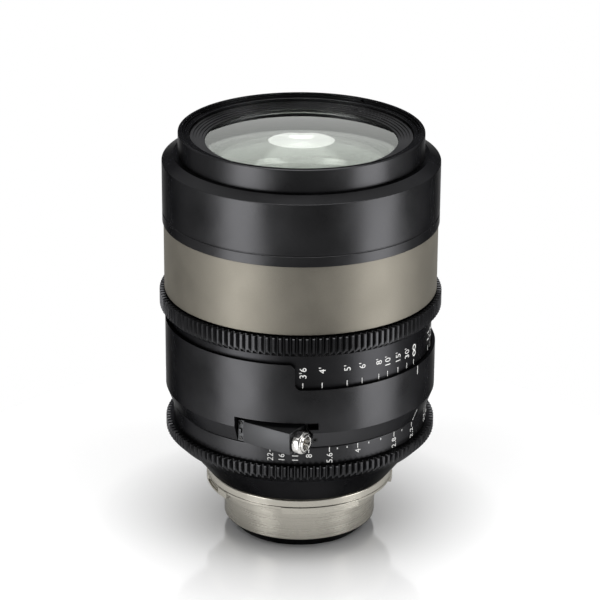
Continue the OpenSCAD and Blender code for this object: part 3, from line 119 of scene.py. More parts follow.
class NodeGraph:
    """A material or world and the few calls that its node tree is built with."""

    def __init__(self, holder: bpy.types.Material | bpy.types.World) -> None:
        """Starts an empty node tree.

        Args:
            holder: The new material or world.
        """
        self.holder = holder
        holder.use_nodes = True
        self.tree = holder.node_tree
        self.tree.nodes.clear()

    def add(self, kind: str, **inputs: object) -> bpy.types.Node:
        """Adds a node.

        Args:
            kind: Blender's name of the node type, without ShaderNode.
            inputs: Values or output sockets by input name, with _ for a space.

        Returns:
            The new node.
        """
        node = self.tree.nodes.new("ShaderNode" + kind)
        for name, value in inputs.items():
            socket = node.inputs[name.replace("_", " ")]
            if isinstance(value, bpy.types.NodeSocket):
                self.tree.links.new(value, socket)
            else:
                socket.default_value = value
        return node

    def math(self, operation: str, first: object, second: object = 0.0) -> bpy.types.NodeSocket:
        """Adds a Math node and returns its result.

        Args:
            operation: Name of the operation.
            first: First value or socket.
            second: Second value or socket.

        Returns:
            The output socket.
        """
        node = self.tree.nodes.new("ShaderNodeMath")
        node.operation = operation
        for index, value in enumerate((first, second)):
            if isinstance(value, bpy.types.NodeSocket):
                self.tree.links.new(value, node.inputs[index])
            else:
                node.inputs[index].default_value = value
        return node.outputs[0]

    def spread(
        self, value: bpy.types.NodeSocket, low: float, high: float
    ) -> bpy.types.NodeSocket:
        """Maps a noise value from its usual range to low and high.

        Args:
            value: Socket of the noise.
            low: Result at the low end.
            high: Result at the high end.

        Returns:
            The output socket.
        """
        return self.ramp(value, NOISE_RANGE, (low, high))

    def ramp(
        self, value: bpy.types.NodeSocket, source: tuple[float, float], result: tuple[float, float]
    ) -> bpy.types.NodeSocket:
        """Maps a value from one range to another, and holds it at the ends.

        Args:
            value: Socket of the value.
            source: The range that it has.
            result: The range that it gets.

        Returns:
            The output socket.
        """
        node = self.add(
            "MapRange",
            Value=value,
            From_Min=source[0],
            From_Max=source[1],
            To_Min=result[0],
            To_Max=result[1],
        )
        return node.outputs["Result"]

    def radius(self, split: bpy.types.Node) -> bpy.types.NodeSocket:
        """Finds the distance of a point from the axis.

        Args:
            split: A Separate XYZ node with the point.

        Returns:
            The output socket.
        """
        x, y = split.outputs["X"], split.outputs["Y"]
        squares = self.math("ADD", self.math("MULTIPLY", x, x), self.math("MULTIPLY", y, y))
        return self.math("SQRT", squares)

    def mirrored(self, path: bpy.types.Node) -> bpy.types.NodeSocket:
        """Finds the rays that come by a reflection or through glass.

        Args:
            path: The Light Path node.

        Returns:
            A socket with 1 for such a ray.
        """
        return self.math(
            "MAXIMUM", path.outputs["Is Glossy Ray"], path.outputs["Is Transmission Ray"]
        )

    def finish(self, shader: bpy.types.Node) -> bpy.types.Material | bpy.types.World:
        """Joins the shader to the output.

        Args:
            shader: The last node.

        Returns:
            The finished material or world.
        """
        kind = "World" if isinstance(self.holder, bpy.types.World) else "Material"
        self.add("Output" + kind, Surface=shader.outputs[0])
        return self.holder


@dataclass(frozen=True)
class MetalFinish:
    """An anodised, painted or turned metal surface."""

    name: str
    colour: tuple[float, float, float]
    metallic: float
    roughness: float
    grain: Grain = Grain.BLASTED
    grain_size: float = 0.00012
    relief: float = 0.000004
    shade_spread: float = 0.12
    rough_spread: float = 0.05
    specular: float = 0.5
    edge_tint: float = 1.0
    fine_detail: float = 3.0
    broad_scale: float = 70.0
    broad_detail: float = 4.0

    def material(self) -> bpy.types.Material:
        """Builds the material.

        Returns:
            The finished material.
        """
        graph = NodeGraph(bpy.data.materials.new(self.name))
        place = graph.add("TexCoord").outputs["Object"]
        grain_place = place
        if self.grain is Grain.TURNED:
            split = graph.add("SeparateXYZ", Vector=place)
            rings = graph.add("CombineXYZ", X=graph.radius(split), Z=split.outputs["Z"])
            grain_place = rings.outputs[0]
        fine = graph.add(
            "TexNoise", Vector=grain_place, Scale=1.0 / self.grain_size, Detail=self.fine_detail
        )
        broad = graph.add(
            "TexNoise", Vector=place, Scale=self.broad_scale, Detail=self.broad_detail
        )
        fine_value, broad_value = fine.outputs["Fac"], broad.outputs["Fac"]
        shade = graph.math(
            "MULTIPLY",
            graph.spread(fine_value, 1.0 - self.shade_spread, 1.0 + self.shade_spread),
            graph.spread(broad_value, 1.0 - self.shade_spread / 2, 1.0 + self.shade_spread / 2),
        )
        tint = graph.add("VectorMath")
        tint.operation = "SCALE"
        tint.inputs[0].default_value = self.colour
        graph.tree.links.new(shade, tint.inputs["Scale"])
        rough = graph.math(
            "ADD",
            graph.spread(fine_value, -self.rough_spread, self.rough_spread),
            graph.spread(
                broad_value, self.roughness - self.rough_spread, self.roughness + self.rough_spread
            ),
        )
        inputs = {}
        if self.grain is not Grain.SMOOTH:
            bump = graph.add("Bump", Strength=1.0, Distance=self.relief, Height=fine_value)
            inputs["Normal"] = bump.outputs["Normal"]
        shader = graph.add(
            "BsdfPrincipled",
            Base_Color=tint.outputs["Vector"],
            Metallic=self.metallic,
            Roughness=rough,
            Specular_IOR_Level=self.specular,
            Specular_Tint=(self.edge_tint, self.edge_tint, self.edge_tint, 1.0),
            **inputs,
        )
        return graph.finish(shader)


@dataclass(frozen=True)
class GlassFinish:
    """A polished glass with a thin coating that tints what it reflects."""

    name: str
    tint: tuple[float, float, float]
    ior: float
    reflect_tint: tuple[float, float, float]
    dust_scale: float = 260.0
    dust_detail: float = 5.0
    dust_roughness: float = 0.02

    def material(self) -> bpy.types.Material:
        """Builds the material.

        Returns:
            The finished material.
        """
        graph = NodeGraph(bpy.data.materials.new(self.name))
        place = graph.add("TexCoord").outputs["Object"]
        dust = graph.add(
            "TexNoise", Vector=place, Scale=self.dust_scale, Detail=self.dust_detail
        )
        shader = graph.add(
            "BsdfPrincipled",
            Base_Color=(*self.tint, 1.0),
            Metallic=0.0,
            Roughness=graph.spread(dust.outputs["Fac"], 0.0, self.dust_roughness),
            IOR=self.ior,
            Transmission_Weight=1.0,
            Specular_Tint=(*self.reflect_tint, 1.0),
        )
        return graph.finish(shader)


Finish = MetalFinish | GlassFinish


class Paint:
    """The finishes of the lens, each made into a material once."""

    BLACK = MetalFinish("black_anodised", (0.046, 0.046, 0.048), 1.0, 0.34, edge_tint=0.3)
    # A darker copy of the black anodise for the focus drum, which sits recessed behind the
    # housing's window: painted shade.
    SCALE_BLACK_SHADED = MetalFinish("black_scale_shaded", (0.034, 0.034, 0.036), 1.0, 0.36, edge_tint=0.3)
    INNER = MetalFinish("inner_black", (0.012, 0.012, 0.013), 0.0, 0.6, specular=0.15)
    RETAINER = MetalFinish(
        "turned_black", (0.13, 0.13, 0.133), 1.0, 0.38, Grain.TURNED, 0.0002, 0.00001,
        edge_tint=0.2,
    )
    TITANIUM = MetalFinish(
        "titanium_grey", (0.2, 0.187, 0.158), 1.0, 0.55, grain_size=0.00018, relief=0.000006,
        edge_tint=0.5,
    )
    TRIM = MetalFinish("rear_trim", (0.04, 0.04, 0.042), 1.0, 0.36, edge_tint=0.3)
    STEEL = MetalFinish(
        "mount_steel", (0.44, 0.42, 0.37), 1.0, 0.27, Grain.TURNED, 0.0004, 0.000003, 0.05,
        edge_tint=0.6,
    )
    FASTENER = MetalFinish("fasteners", (0.06, 0.06, 0.06), 1.0, 0.35)
    CHROME = MetalFinish(
        "chrome", (0.6, 0.59, 0.57), 1.0, 0.16, grain_size=0.0004, relief=0.000001
    )
    GOLD = MetalFinish("contact_gold", (0.7, 0.48, 0.2), 1.0, 0.28, Grain.SMOOTH)
    BOARD = MetalFinish("board", (0.03, 0.12, 0.05), 0.0, 0.5, Grain.SMOOTH)
    BLOCK = MetalFinish("block_grey", (0.08, 0.081, 0.084), 1.0, 0.5, edge_tint=0.5)
    WHITE = MetalFinish("scale_white", (0.85, 0.85, 0.83), 0.0, 0.5, Grain.SMOOTH, specular=0.3)
    BLADE = MetalFinish("blade_steel", (0.03, 0.03, 0.031), 1.0, 0.45)
    GLASS = GlassFinish("front_glass", (0.93, 0.97, 0.92), 1.85, (0.9, 1.0, 0.86))
    INNER_GLASS = GlassFinish("inner_glass", (0.97, 0.98, 0.96), 1.7, (0.9, 1.0, 0.86))

    _made: dict[str, bpy.types.Material] = {}

    @classmethod
    def material(cls, finish: Finish) -> bpy.types.Material:
        """Returns the material of a finish, built at its first use.

        Args:
            finish: One of the finishes of this class.

        Returns:
            The material.
        """
        if finish.name not in cls._made:
            cls._made[finish.name] = finish.material()
        return cls._made[finish.name]


def mesh_from(work: bmesh.types.BMesh, name: str) -> bpy.types.Mesh:
    """Writes a finished working mesh to a new mesh.

    Args:
        work: The working mesh, which is freed.
        name: Name of the piece.

    Returns:
        The mesh.
    """
    mesh = bpy.data.meshes.new(name + "_shape")
    work.to_mesh(mesh)
    work.free()
    return mesh


def add_piece(name: str, mesh: bpy.types.Mesh, finish: Finish) -> bpy.types.Object:
    """Links and reports a new object with one material.

    Args:
        name: Name of the object.
        mesh: Its mesh, already in place.
        finish: Its finish.

    Returns:
        The object.
    """
    piece = bpy.data.objects.new(name, mesh)
    bpy.context.scene.collection.objects.link(piece)
    mesh.materials.clear()
    mesh.materials.append(Paint.material(finish))
    LOG.info("piece %s: %d faces", name, len(mesh.polygons))
    return piece


@dataclass(frozen=True)
class Accent:
    """A second material on the faces that lie within a range of radius and height: a second
    finish, or painted shade.
    """

    finish: MetalFinish
    radii: tuple[float, float]
    levels: tuple[float, float]

    def covers(self, face: bmesh.types.BMFace) -> bool:
        """Tells whether a face has this finish.

        Args:
            face: Face of the piece.

        Returns:
            True where the middle of the face lies within both ranges.
        """
        middle = face.calc_center_median()
        radius = math.hypot(middle.x, middle.y)
        in_radii = self.radii[0] < radius < self.radii[1]
        return in_radii and self.levels[0] < middle.z < self.levels[1]


@dataclass
class Dressed:
    """A piece made from a CAD node's own shape, with its sharp edges broken as a real part's are.

    The CAD mesh is copied, merged and freed of needless edges. Each chain of sharp edges is then
    rounded on its own, so that a small hole doesn't limit the edge of a large rim. Turns are
    degrees between two faces.
    """

    node: str
    finish: Finish
    slot: Slot
    edge: float = 0.00018
    least_chain: float = 0.0
    accent: Accent | None = None
    segments: int = 2
    merge: float = 2e-7
    weld: float = 1e-6
    cut_slack: float = 1e-7
    flat_turn: float = 0.6
    sharp_turn: float = 28.0
    shade_turn: float = 40.0

    def build(self) -> None:
        """Builds the piece, which then stands for its node."""
        source = frame["nodes"][self.node]
        work = bmesh.new()
        work.from_mesh(source.data)
        bmesh.ops.remove_doubles(work, verts=work.verts, dist=self.merge)
        self._quarter(work)
        bmesh.ops.dissolve_limit(
            work,
            angle_limit=math.radians(self.flat_turn),
            verts=work.verts,
            edges=work.edges,
            delimit={"SEAM"},
        )
        self._round_edges(work)
        for face in work.faces:
            face.smooth = True
            if self.accent and self.accent.covers(face):
                face.material_index = 1
        mesh = mesh_from(work, self.node)
        piece = add_piece(self.node + "_dressed", mesh, self.finish)
        if self.accent:
            mesh.materials.append(Paint.material(self.accent.finish))
        mesh.set_sharp_from_angle(angle=math.radians(self.shade_turn))
        self._shade(mesh)
        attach(piece, source["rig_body"])
        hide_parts(self.node)

    def _quarter(self, work: bmesh.types.BMesh) -> None:
        """Cuts flat rings in quarters, because one face can't go all the way round a hole.

        Args:
            work: The mesh to change.
        """
        for normal in ((1.0, 0.0, 0.0), (0.0, 1.0, 0.0)):
            made = bmesh.ops.bisect_plane(
                work,
                geom=[*work.verts, *work.edges, *work.faces],
                dist=self.cut_slack,
                plane_co=(0.0, 0.0, 0.0),
                plane_no=normal,
            )
            for part in made["geom_cut"]:
                if isinstance(part, bmesh.types.BMEdge):
                    part.seam = all(abs(face.normal.z) > LEVEL_NORMAL for face in part.link_faces)

    @staticmethod
    def _normal_at(face: bpy.types.MeshPolygon, point: Vector) -> Vector | None:
        """Finds the normal of the turned surface that a face belongs to.

        Args:
            face: The face.
            point: A corner of the face.

        Returns:
            The normal at that corner, or None where the face isn't part of a turned surface.
        """
        if abs(face.normal.z) > LEVEL_NORMAL:
            return face.normal.copy()
        middle = Vector((face.center.x, face.center.y))
        flat = Vector((face.normal.x, face.normal.y))
        if middle.length < MM or flat.length < LEAST_SIDE:
            return None
        if abs(middle.normalized().cross(flat)) > TURNED_SLACK * flat.length:
            return None
        turn = math.atan2(point.y, point.x) - math.atan2(middle.y, middle.x)
        return Matrix.Rotation(turn, 3, "Z") @ face.normal

    def _shade(self, mesh: bpy.types.Mesh) -> None:
        """Sets the corner normals, so that turned walls shade as true cylinders and cones.

        Args:
            mesh: The mesh, whose face attribute rounded marks the rounded edges.
        """
        rounded = mesh.attributes["rounded"].data
        normals = [corner.vector.copy() for corner in mesh.corner_normals]
        plain: dict[int, list[Vector]] = {}
        for face in mesh.polygons:
            if rounded[face.index].value:
                continue
            for corner in face.loop_indices:
                index = mesh.loops[corner].vertex_index
                normal = self._normal_at(face, mesh.vertices[index].co)
                if normal:
                    normals[corner] = normal
                    plain.setdefault(index, []).append(normal)
        for face in mesh.polygons:
            if not rounded[face.index].value:
                continue
            for corner in face.loop_indices:
                near = plain.get(mesh.loops[corner].vertex_index, [])
                best = max(near, key=face.normal.dot, default=None)
                if best is not None and face.normal.dot(best) > SAME_SIDE:
                    normals[corner] = best
        mesh.normals_split_custom_set(normals)

    def _round_edges(self, work: bmesh.types.BMesh) -> None:
        """Rounds the sharp edges chain by chain.

        Args:
            work: The mesh to change.
        """
        mark = work.edges.layers.int.new("chain")
        rounded = work.faces.layers.int.new("rounded")
        for chain in range(1, self._mark_chains(work, mark) + 1):
            edges = [edge for edge in work.edges if edge[mark] == chain]
            if not edges or sum(edge.calc_length() for edge in edges) < self.least_chain:
                continue
            made = bmesh.ops.bevel(
                work,
                geom=edges,
                offset=self.edge,
                offset_type="OFFSET",
                segments=self.segments,
                profile=0.5,
                affect="EDGES",
                clamp_overlap=True,
                material=-1,
            )
            for edge in made["edges"]:
                edge[mark] = 0
            for face in made["faces"]:
                face[rounded] = 1
        bmesh.ops.remove_doubles(work, verts=work.verts, dist=self.weld)

    def _mark_chains(self, work: bmesh.types.BMesh, mark: bmesh.types.BMLayerItem) -> int:
        """Numbers the chains of sharp edges that touch each other, in the order of the edges.

        Args:
            work: The mesh.
            mark: The edge layer that gets the numbers, from 1.

        Returns:
            The number of chains.
        """
        limit = math.radians(self.sharp_turn)
        sharp = [e for e in work.edges if e.is_manifold and e.calc_face_angle(0.0) > limit]
        waiting = set(sharp)
        count = 0
        for first in sharp:
            if first not in waiting:
                continue
            waiting.remove(first)
            count += 1
            stack = [first]
            while stack:
                edge = stack.pop()
                edge[mark] = count
                for vert in edge.verts:
                    near = [e for e in vert.link_edges if e in waiting]
                    waiting.difference_update(near)
                    stack.extend(near)
        return count


class SubAssembly:
    """Nodes of the CAD model that belong together."""

    def shown(self) -> list[Dressed]:
        """Lists the pieces that are dressed."""
        return []

    def plain(self) -> dict[Finish, tuple[str, ...]]:
        """Lists the nodes that keep their CAD shape, by finish."""
        return {}

    def build(self) -> None:
        """Dresses the shown pieces and gives the other nodes their materials."""
        for piece in self.shown():
            piece.build()
        for finish, nodes in self.plain().items():
            for node in nodes:
                mesh = frame["nodes"][node].data
                mesh.materials.clear()
                mesh.materials.append(Paint.material(finish))
                LOG.info("node %s: %s", node, finish.name)


@dataclass
class FrontEnd(SubAssembly):
    """The front ring, the barrel shell and the front glasses."""

    edge: float = 0.00022
    least_chain: float = 30.0 * MM
    step_radii: tuple[float, float] = (42.5 * MM, 46.6 * MM)
    step_levels: tuple[float, float] = (143.8 * MM, 145.85 * MM)

    def shown(self) -> list[Dressed]:
        """Lists the shell and the ring, whose fine steps have a turned finish.

        Returns:
            The pieces to dress.
        """
        steps = Accent(Paint.RETAINER, self.step_radii, self.step_levels)
        return [
            Dressed("front_barrel", Paint.BLACK, Slot.BLACK, self.edge, self.least_chain),
            Dressed("front_ring", Paint.BLACK, Slot.BLACK, self.edge, self.least_chain, steps),
        ]

    def plain(self) -> dict[Finish, tuple[str, ...]]:
        """Lists the cell, the glasses and what holds them.

        Returns:
            The names of the nodes by finish.
        """
        return {
            Paint.RETAINER: ("front_cell", "front_retainer"),
            Paint.GLASS: ("front_element",),
            Paint.INNER_GLASS: ("second_element", "third_element"),
            Paint.INNER: ("element_spacer", "front_group_retainer"),
            Paint.FASTENER: ("front_screws",),
        }


@dataclass
class MiddleBarrel(SubAssembly):
    """The band, the fixed housing and the focus drive."""

    edge: float = 0.00022
    gear_edge: float = 0.00012
    least_chain: float = 30.0 * MM

    def shown(self) -> list[Dressed]:
        """Lists the housing, the band and the focus rings.

        Returns:
            The pieces to dress.
        """
        return [
            Dressed("main_housing", Paint.BLACK, Slot.BLACK, self.edge, self.least_chain),
            Dressed("focus_gear", Paint.BLACK, Slot.BLACK, self.gear_edge, self.least_chain),
            # The focus drum gets the darker copy of the black anodise: painted shade in the
            # window.
            Dressed("focus_ring", Paint.SCALE_BLACK_SHADED, Slot.BLACK),
            Dressed("name_band", Paint.TITANIUM, Slot.BAND),
        ]

    def plain(self) -> dict[Finish, tuple[str, ...]]:
        """Lists the inner barrel, the cam drive, the sliding group and the encoder.

        Returns:
            The names of the nodes by finish.
        """
        return {
            Paint.INNER: (
                "inner_barrel", "cam_sleeve", "encoder_ring", "focus_cell", "focus_retainers",
                "focus_stop",
            ),
            Paint.FASTENER: (
                "barrel_screws", "housing_screws", "focus_gear_screws", "cam_followers",
            ),
            Paint.INNER_GLASS: ("focus_element_front", "focus_element_back"),
            Paint.BOARD: ("encoder_board",),
        }


@dataclass
class IrisDrive(SubAssembly):
    """The iris ring with its gear, and the blades that it moves."""

    edge: float = 0.00022
    gear_edge: float = 0.00012
    least_chain: float = 30.0 * MM
    blades: int = 9

    def shown(self) -> list[Dressed]:
        """Lists the ring and its gear.

        Returns:
            The pieces to dress.
        """
        return [
            Dressed("iris_ring", Paint.BLACK, Slot.BLACK, self.edge, self.least_chain),
            Dressed("iris_gear", Paint.BLACK, Slot.BLACK, self.gear_edge, self.least_chain),
        ]

    def plain(self) -> dict[Finish, tuple[str, ...]]:
        """Lists the blades, their cup and the drive.

        Returns:
            The names of the nodes by finish.
        """
        blades = (f"iris_blade_{number}" for number in range(1, self.blades + 1))
        return {
            Paint.BLADE: ("iris_cam_ring", *blades),
            Paint.INNER: ("iris_retainer", "iris_cover", "iris_base"),
            Paint.FASTENER: ("iris_gear_screws", "iris_drive_pin"),
        }


@dataclass
class RearEnd(SubAssembly):
    """The rear housing, the camera mount and the rear glasses."""

    flange_edge: float = 0.0002
    shim_edge: float = 0.00005
    retainer_edge: float = 0.0001
    # Where the painted shade under the flange lies, in the wing gaps.
    gap_shade_radii: tuple[float, float] = (33.5 * MM, 34.5 * MM)
    gap_shade_levels: tuple[float, float] = (-0.1 * MM, 1.58 * MM)

    def shown(self) -> list[Dressed]:
        """Lists the housing and the mount, whose steel walls in the wing gaps are painted black as
        painted shade under the flange.

        Returns:
            The pieces to dress.
        """
        # The steel wall under the flange in the wing gaps gets the black trim finish: painted
        # shade where the flange's shadow falls.
        gap_shade = Accent(Paint.TRIM, self.gap_shade_radii, self.gap_shade_levels)
        return [
            Dressed("rear_housing", Paint.TRIM, Slot.REAR),
            Dressed("mount_flange", Paint.STEEL, Slot.MOUNT, self.flange_edge, accent=gap_shade),
            Dressed("mount_shim", Paint.STEEL, Slot.MOUNT, self.shim_edge),
            Dressed("rear_baffle", Paint.TRIM, Slot.REAR),
            Dressed("rear_retainers", Paint.TRIM, Slot.INNER, self.retainer_edge),
        ]

    def plain(self) -> dict[Finish, tuple[str, ...]]:
        """Lists the rear cell, its glasses and the mount's screws.

        Returns:
            The names of the nodes by finish.
        """
        return {
            Paint.INNER: ("rear_cell", "rear_spacer"),
            Paint.INNER_GLASS: (
                "rear_element_front", "rear_element_middle", "rear_element_back",
            ),
            Paint.FASTENER: ("mount_screws",),
        }


@dataclass
class DataConnector(SubAssembly):
    """The block in the housing's pocket, with its socket."""

    block_edge: float = 0.00013
    socket_edge: float = 0.00012
    nut_edge: float = 0.00015
    contact_edge: float = 0.00005
    lug_radii: tuple[float, float] = (48.0 * MM, 50.75 * MM)
    lug_levels: tuple[float, float] = (30.0 * MM, 50.0 * MM)

    def shown(self) -> list[Dressed]:
        """Lists the block, whose lug is black, and the parts of the socket.

        Returns:
            The pieces to dress.
        """
        lug = Accent(Paint.BLACK, self.lug_radii, self.lug_levels)
        return [
            Dressed("data_block", Paint.BLOCK, Slot.BLACK, self.block_edge, accent=lug),
            Dressed("data_socket", Paint.CHROME, Slot.SOCKET, self.socket_edge),
            Dressed("data_nut", Paint.CHROME, Slot.SOCKET, self.nut_edge),
            Dressed("data_contacts", Paint.GOLD, Slot.CONTACT, self.contact_edge),
        ]

    def plain(self) -> dict[Finish, tuple[str, ...]]:
        """Lists the block's screws."""
        return {Paint.FASTENER: ("data_block_screws",)}


@dataclass(frozen=True)
class Mark:
    """A painted number that ends at a level, with its turn in degrees."""

    text: str
    turn: float
    height: float
    level: float


@dataclass
class Scale:
    """Painted numbers and lines on a round surface.

    A flat shape is laid out with its up direction along the turn or the axis, given a little
    thickness, and then wrapped round the axis. A line has a turn, a lower and an upper end and a
    width.
    """

    name: str
    body: str
    radius: float
    marks: list[Mark] = field(default_factory=list)
    lines: list[tuple[float, float, float, float]] = field(default_factory=list)
    lift: float = 0.00002
    depth: float = 0.00006
    cap_share: float = 0.72
    letter_space: float = 1.06
    curve_steps: int = 4

    def build(self) -> None:
        """Builds all the marks of the scale as one piece."""
        work = bmesh.new()
        for mark in self.marks:
            self._add_text(work, mark)
        for turn, low, high, width in self.lines:
            self._add_line(work, turn, low, high, width)
        piece = add_piece(self.name, mesh_from(work, self.name), Paint.WHITE)
        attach(piece, self.body)

    def _wrap(self, verts: list[bmesh.types.BMVert], turn: float) -> None:
        """Wraps flat points round the axis.

        Args:
            verts: Points with x along the turn, y along the axis and z outwards.
            turn: Turn of the point at x = 0.
        """
        for vert in verts:
            angle = math.radians(turn) + vert.co.x / self.radius
            out = self.radius + self.lift + vert.co.z
            vert.co = Vector((math.sin(angle) * out, -math.cos(angle) * out, vert.co.y))

    def _add_text(self, work: bmesh.types.BMesh, mark: Mark) -> None:
        """Adds a number that reads upwards and ends at the mark's level.

        Args:
            work: The mesh to add to.
            mark: The number and its place.
        """
        curve = bpy.data.curves.new("glyphs", "FONT")
        curve.body = mark.text
        curve.size = mark.height / self.cap_share
        curve.extrude = self.depth / 2
        curve.align_x = "RIGHT"
        curve.align_y = "BOTTOM_BASELINE"
        curve.space_character = self.letter_space
        curve.resolution_u = self.curve_steps
        holder = bpy.data.objects.new("glyphs", curve)
        bpy.context.scene.collection.objects.link(holder)
        shape = bpy.data.meshes.new_from_object(
            holder.evaluated_get(bpy.context.evaluated_depsgraph_get())
        )
        bpy.data.objects.remove(holder)
        start = len(work.verts)
        work.from_mesh(shape)
        bpy.data.meshes.remove(shape)
        work.verts.ensure_lookup_table()
        verts = work.verts[start:]
        turned = Matrix.Rotation(math.radians(90.0), 4, "Z")
        moved = Matrix.Translation((mark.height / 2, mark.level, 0.0)) @ turned
        for vert in verts:
            vert.co = moved @ vert.co
        self._wrap(verts, mark.turn)

    def _add_line(
        self, work: bmesh.types.BMesh, turn: float, low: float, high: float, width: float
    ) -> None:
        """Adds a line along the axis.

        Args:
            work: The mesh to add to.
            turn: Turn of the line.
            low: Lower end.
            high: Upper end.
            width: Width of the line.
        """
        made = bmesh.ops.create_cube(work, size=1.0)
        size = Matrix.Diagonal((width, high - low, self.depth, 1.0))
        place = Matrix.Translation((0.0, (low + high) / 2, 0.0))
        bmesh.ops.transform(work, matrix=place @ size, verts=made["verts"])
        self._wrap(made["verts"], turn)


@dataclass
class FocusScale:
    """The distance scales in feet and metres on the focus drum.

    The turn of a mark is the turn of the farthest one, less the spread over the distance.
    """

    radius: float = 51.5 * MM
    sill: float = 59.8 * MM
    glyph: float = 2.7 * MM
    far_glyph: float = 4.3 * MM
    number_rise: float = 8.8 * MM
    tick_rise: tuple[float, float] = (0.2 * MM, 2.4 * MM)
    tick_width: float = 0.3 * MM
    feet_far_turn: float = 58.4
    feet_spread: float = 171.7
    feet_offset: float = 0.5
    metre_far_turn: float = 131.0
    metre_spread: float = 61.9
    feet: tuple[tuple[str, float], ...] = (
        ("3'6", 3.5), ("4'", 4.0), ("5'", 5.0), ("6'", 6.0), ("8'", 8.0), ("10'", 10.0),
        ("15'", 15.0), ("30'", 30.0), ("∞", 400.0),
    )
    metres: tuple[tuple[str, float], ...] = (
        ("1.1", 1.1), ("1.2", 1.2), ("1.5", 1.5), ("2", 2.0), ("3", 3.0), ("5", 5.0), ("10", 10.0),
        ("∞", 120.0),
    )

    def _places(self) -> list[tuple[str, float]]:
        """Works out where the numbers stand.

        Returns:
            Each number and its turn.
        """
        places = []
        for text, distance in self.feet:
            turn = self.feet_far_turn - self.feet_spread / (distance - self.feet_offset)
            places.append((text, turn))
        for text, distance in self.metres:
            places.append((text, self.metre_far_turn - self.metre_spread / distance))
        return places

    def build(self) -> None:
        """Builds the numbers and the ticks under them."""
        marks, lines = [], []
        low, high = (self.sill + rise for rise in self.tick_rise)
        for text, turn in self._places():
            height = self.far_glyph if text == "∞" else self.glyph
            marks.append(Mark(text, turn, height, self.sill + self.number_rise))
            lines.append((turn, low, high, self.tick_width))
        Scale("focus_numbers", "focus_assembly", self.radius, marks, lines).build()


@dataclass
class IrisScale:
    """The aperture scale on the iris ring, painted once from each start."""

    radius: float = 50.2 * MM
    top: float = 34.6 * MM
    glyph: float = 2.4 * MM
    number_drop: float = 2.4 * MM
    tick_drop: float = 2.0 * MM
    tick_width: float = 0.3 * MM
    dot_drops: tuple[float, float] = (1.2 * MM, 0.5 * MM)
    dot_width: float = 0.35 * MM
    stops: tuple[tuple[str, float], ...] = (
        ("2.2", 60.0), ("2.8", 46.5), ("4", 26.3), ("5.6", 13.1), ("8", 4.0), ("11", -2.0),
        ("16", -8.0), ("22", -13.0),
    )
    dots: tuple[float, ...] = (52.0, 38.4, 31.9, 21.2, 16.7)
    starts: tuple[float, ...] = (0.0, 90.0)

    def build(self) -> None:
        """Builds the numbers, the ticks above them and the dots between them."""
        marks, lines = [], []
        low, high = (self.top - drop for drop in self.dot_drops)
        for start in self.starts:
            for text, turn in self.stops:
                marks.append(Mark(text, start + turn, self.glyph, self.top - self.number_drop))
                lines.append((start + turn, self.top - self.tick_drop, self.top, self.tick_width))
            for turn in self.dots:
                lines.append((start + turn, low, high, self.dot_width))
        Scale("iris_numbers", "iris_assembly", self.radius, marks, lines).build()


@dataclass
class IndexLines:
    """White index lines on the fixed housing, beside the two scales."""

    turn: float = 58.4
    radius: float = 53.15 * MM
    bevel_turn: float = 59.8
    levels: tuple[float, float] = (56.1 * MM, 59.6 * MM)
    bevel_radii: tuple[float, float] = (50.75 * MM, 52.65 * MM)
    bevel_levels: tuple[float, float] = (35.7 * MM, 40.6 * MM)
    width: float = 0.35 * MM
    lift: float = 0.05 * MM
    thickness: float = 0.06 * MM

    def build(self) -> None:
        """Builds both lines."""
        line = (self.turn, *self.levels, self.width)
        Scale("focus_index", "lens_body", self.radius, lines=[line]).build()
        self._bevel_line()

    def _bevel_line(self) -> None:
        """Builds the line on the bevel as a thin bar that leans with the cone."""
        work = bmesh.new()
        made = bmesh.ops.create_cube(work, size=1.0)
        for vert in made["verts"]:
            end = 1 if vert.co.z > 0 else 0
            out = self.bevel_radii[end] + self.lift + vert.co.y * self.thickness
            vert.co = Vector((vert.co.x * self.width, -out, self.bevel_levels[end]))
        turn = Matrix.Rotation(math.radians(self.bevel_turn), 4, "Z")
        bmesh.ops.transform(work, matrix=turn, verts=made["verts"])
        bmesh.ops.recalc_face_normals(work, faces=work.faces)
        piece = add_piece("iris_index", mesh_from(work, "iris_index"), Paint.WHITE)
        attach(piece, "lens_body")


@dataclass(frozen=True)
class Lamp:
    """A soft box that looks at the object.

    It stands at a turn round the axis, a reach from it and a height above the seat, and has a
    width and height in metres and a power in watts.
    """

    name: str
    turn: float
    reach: float
    height: float
    size: tuple[float, float]
    power: float
    outline: Outline = Outline.BOX

    def build(self, target: Vector) -> None:
        """Adds the lamp.

        Args:
            target: The point that it looks at.
        """
        data = bpy.data.lights.new(self.name, "AREA")
        data.shape = self.outline.value
        data.size, data.size_y = self.size
        data.energy = self.power
        lamp = bpy.data.objects.new(self.name, data)
        angle = math.radians(self.turn)
        lamp.location = (math.sin(angle) * self.reach, -math.cos(angle) * self.reach, self.height)
        lamp.rotation_mode = "QUATERNION"
        lamp.rotation_quaternion = (target - lamp.location).to_track_quat("-Z", "Y")
        bpy.context.scene.collection.objects.link(lamp)


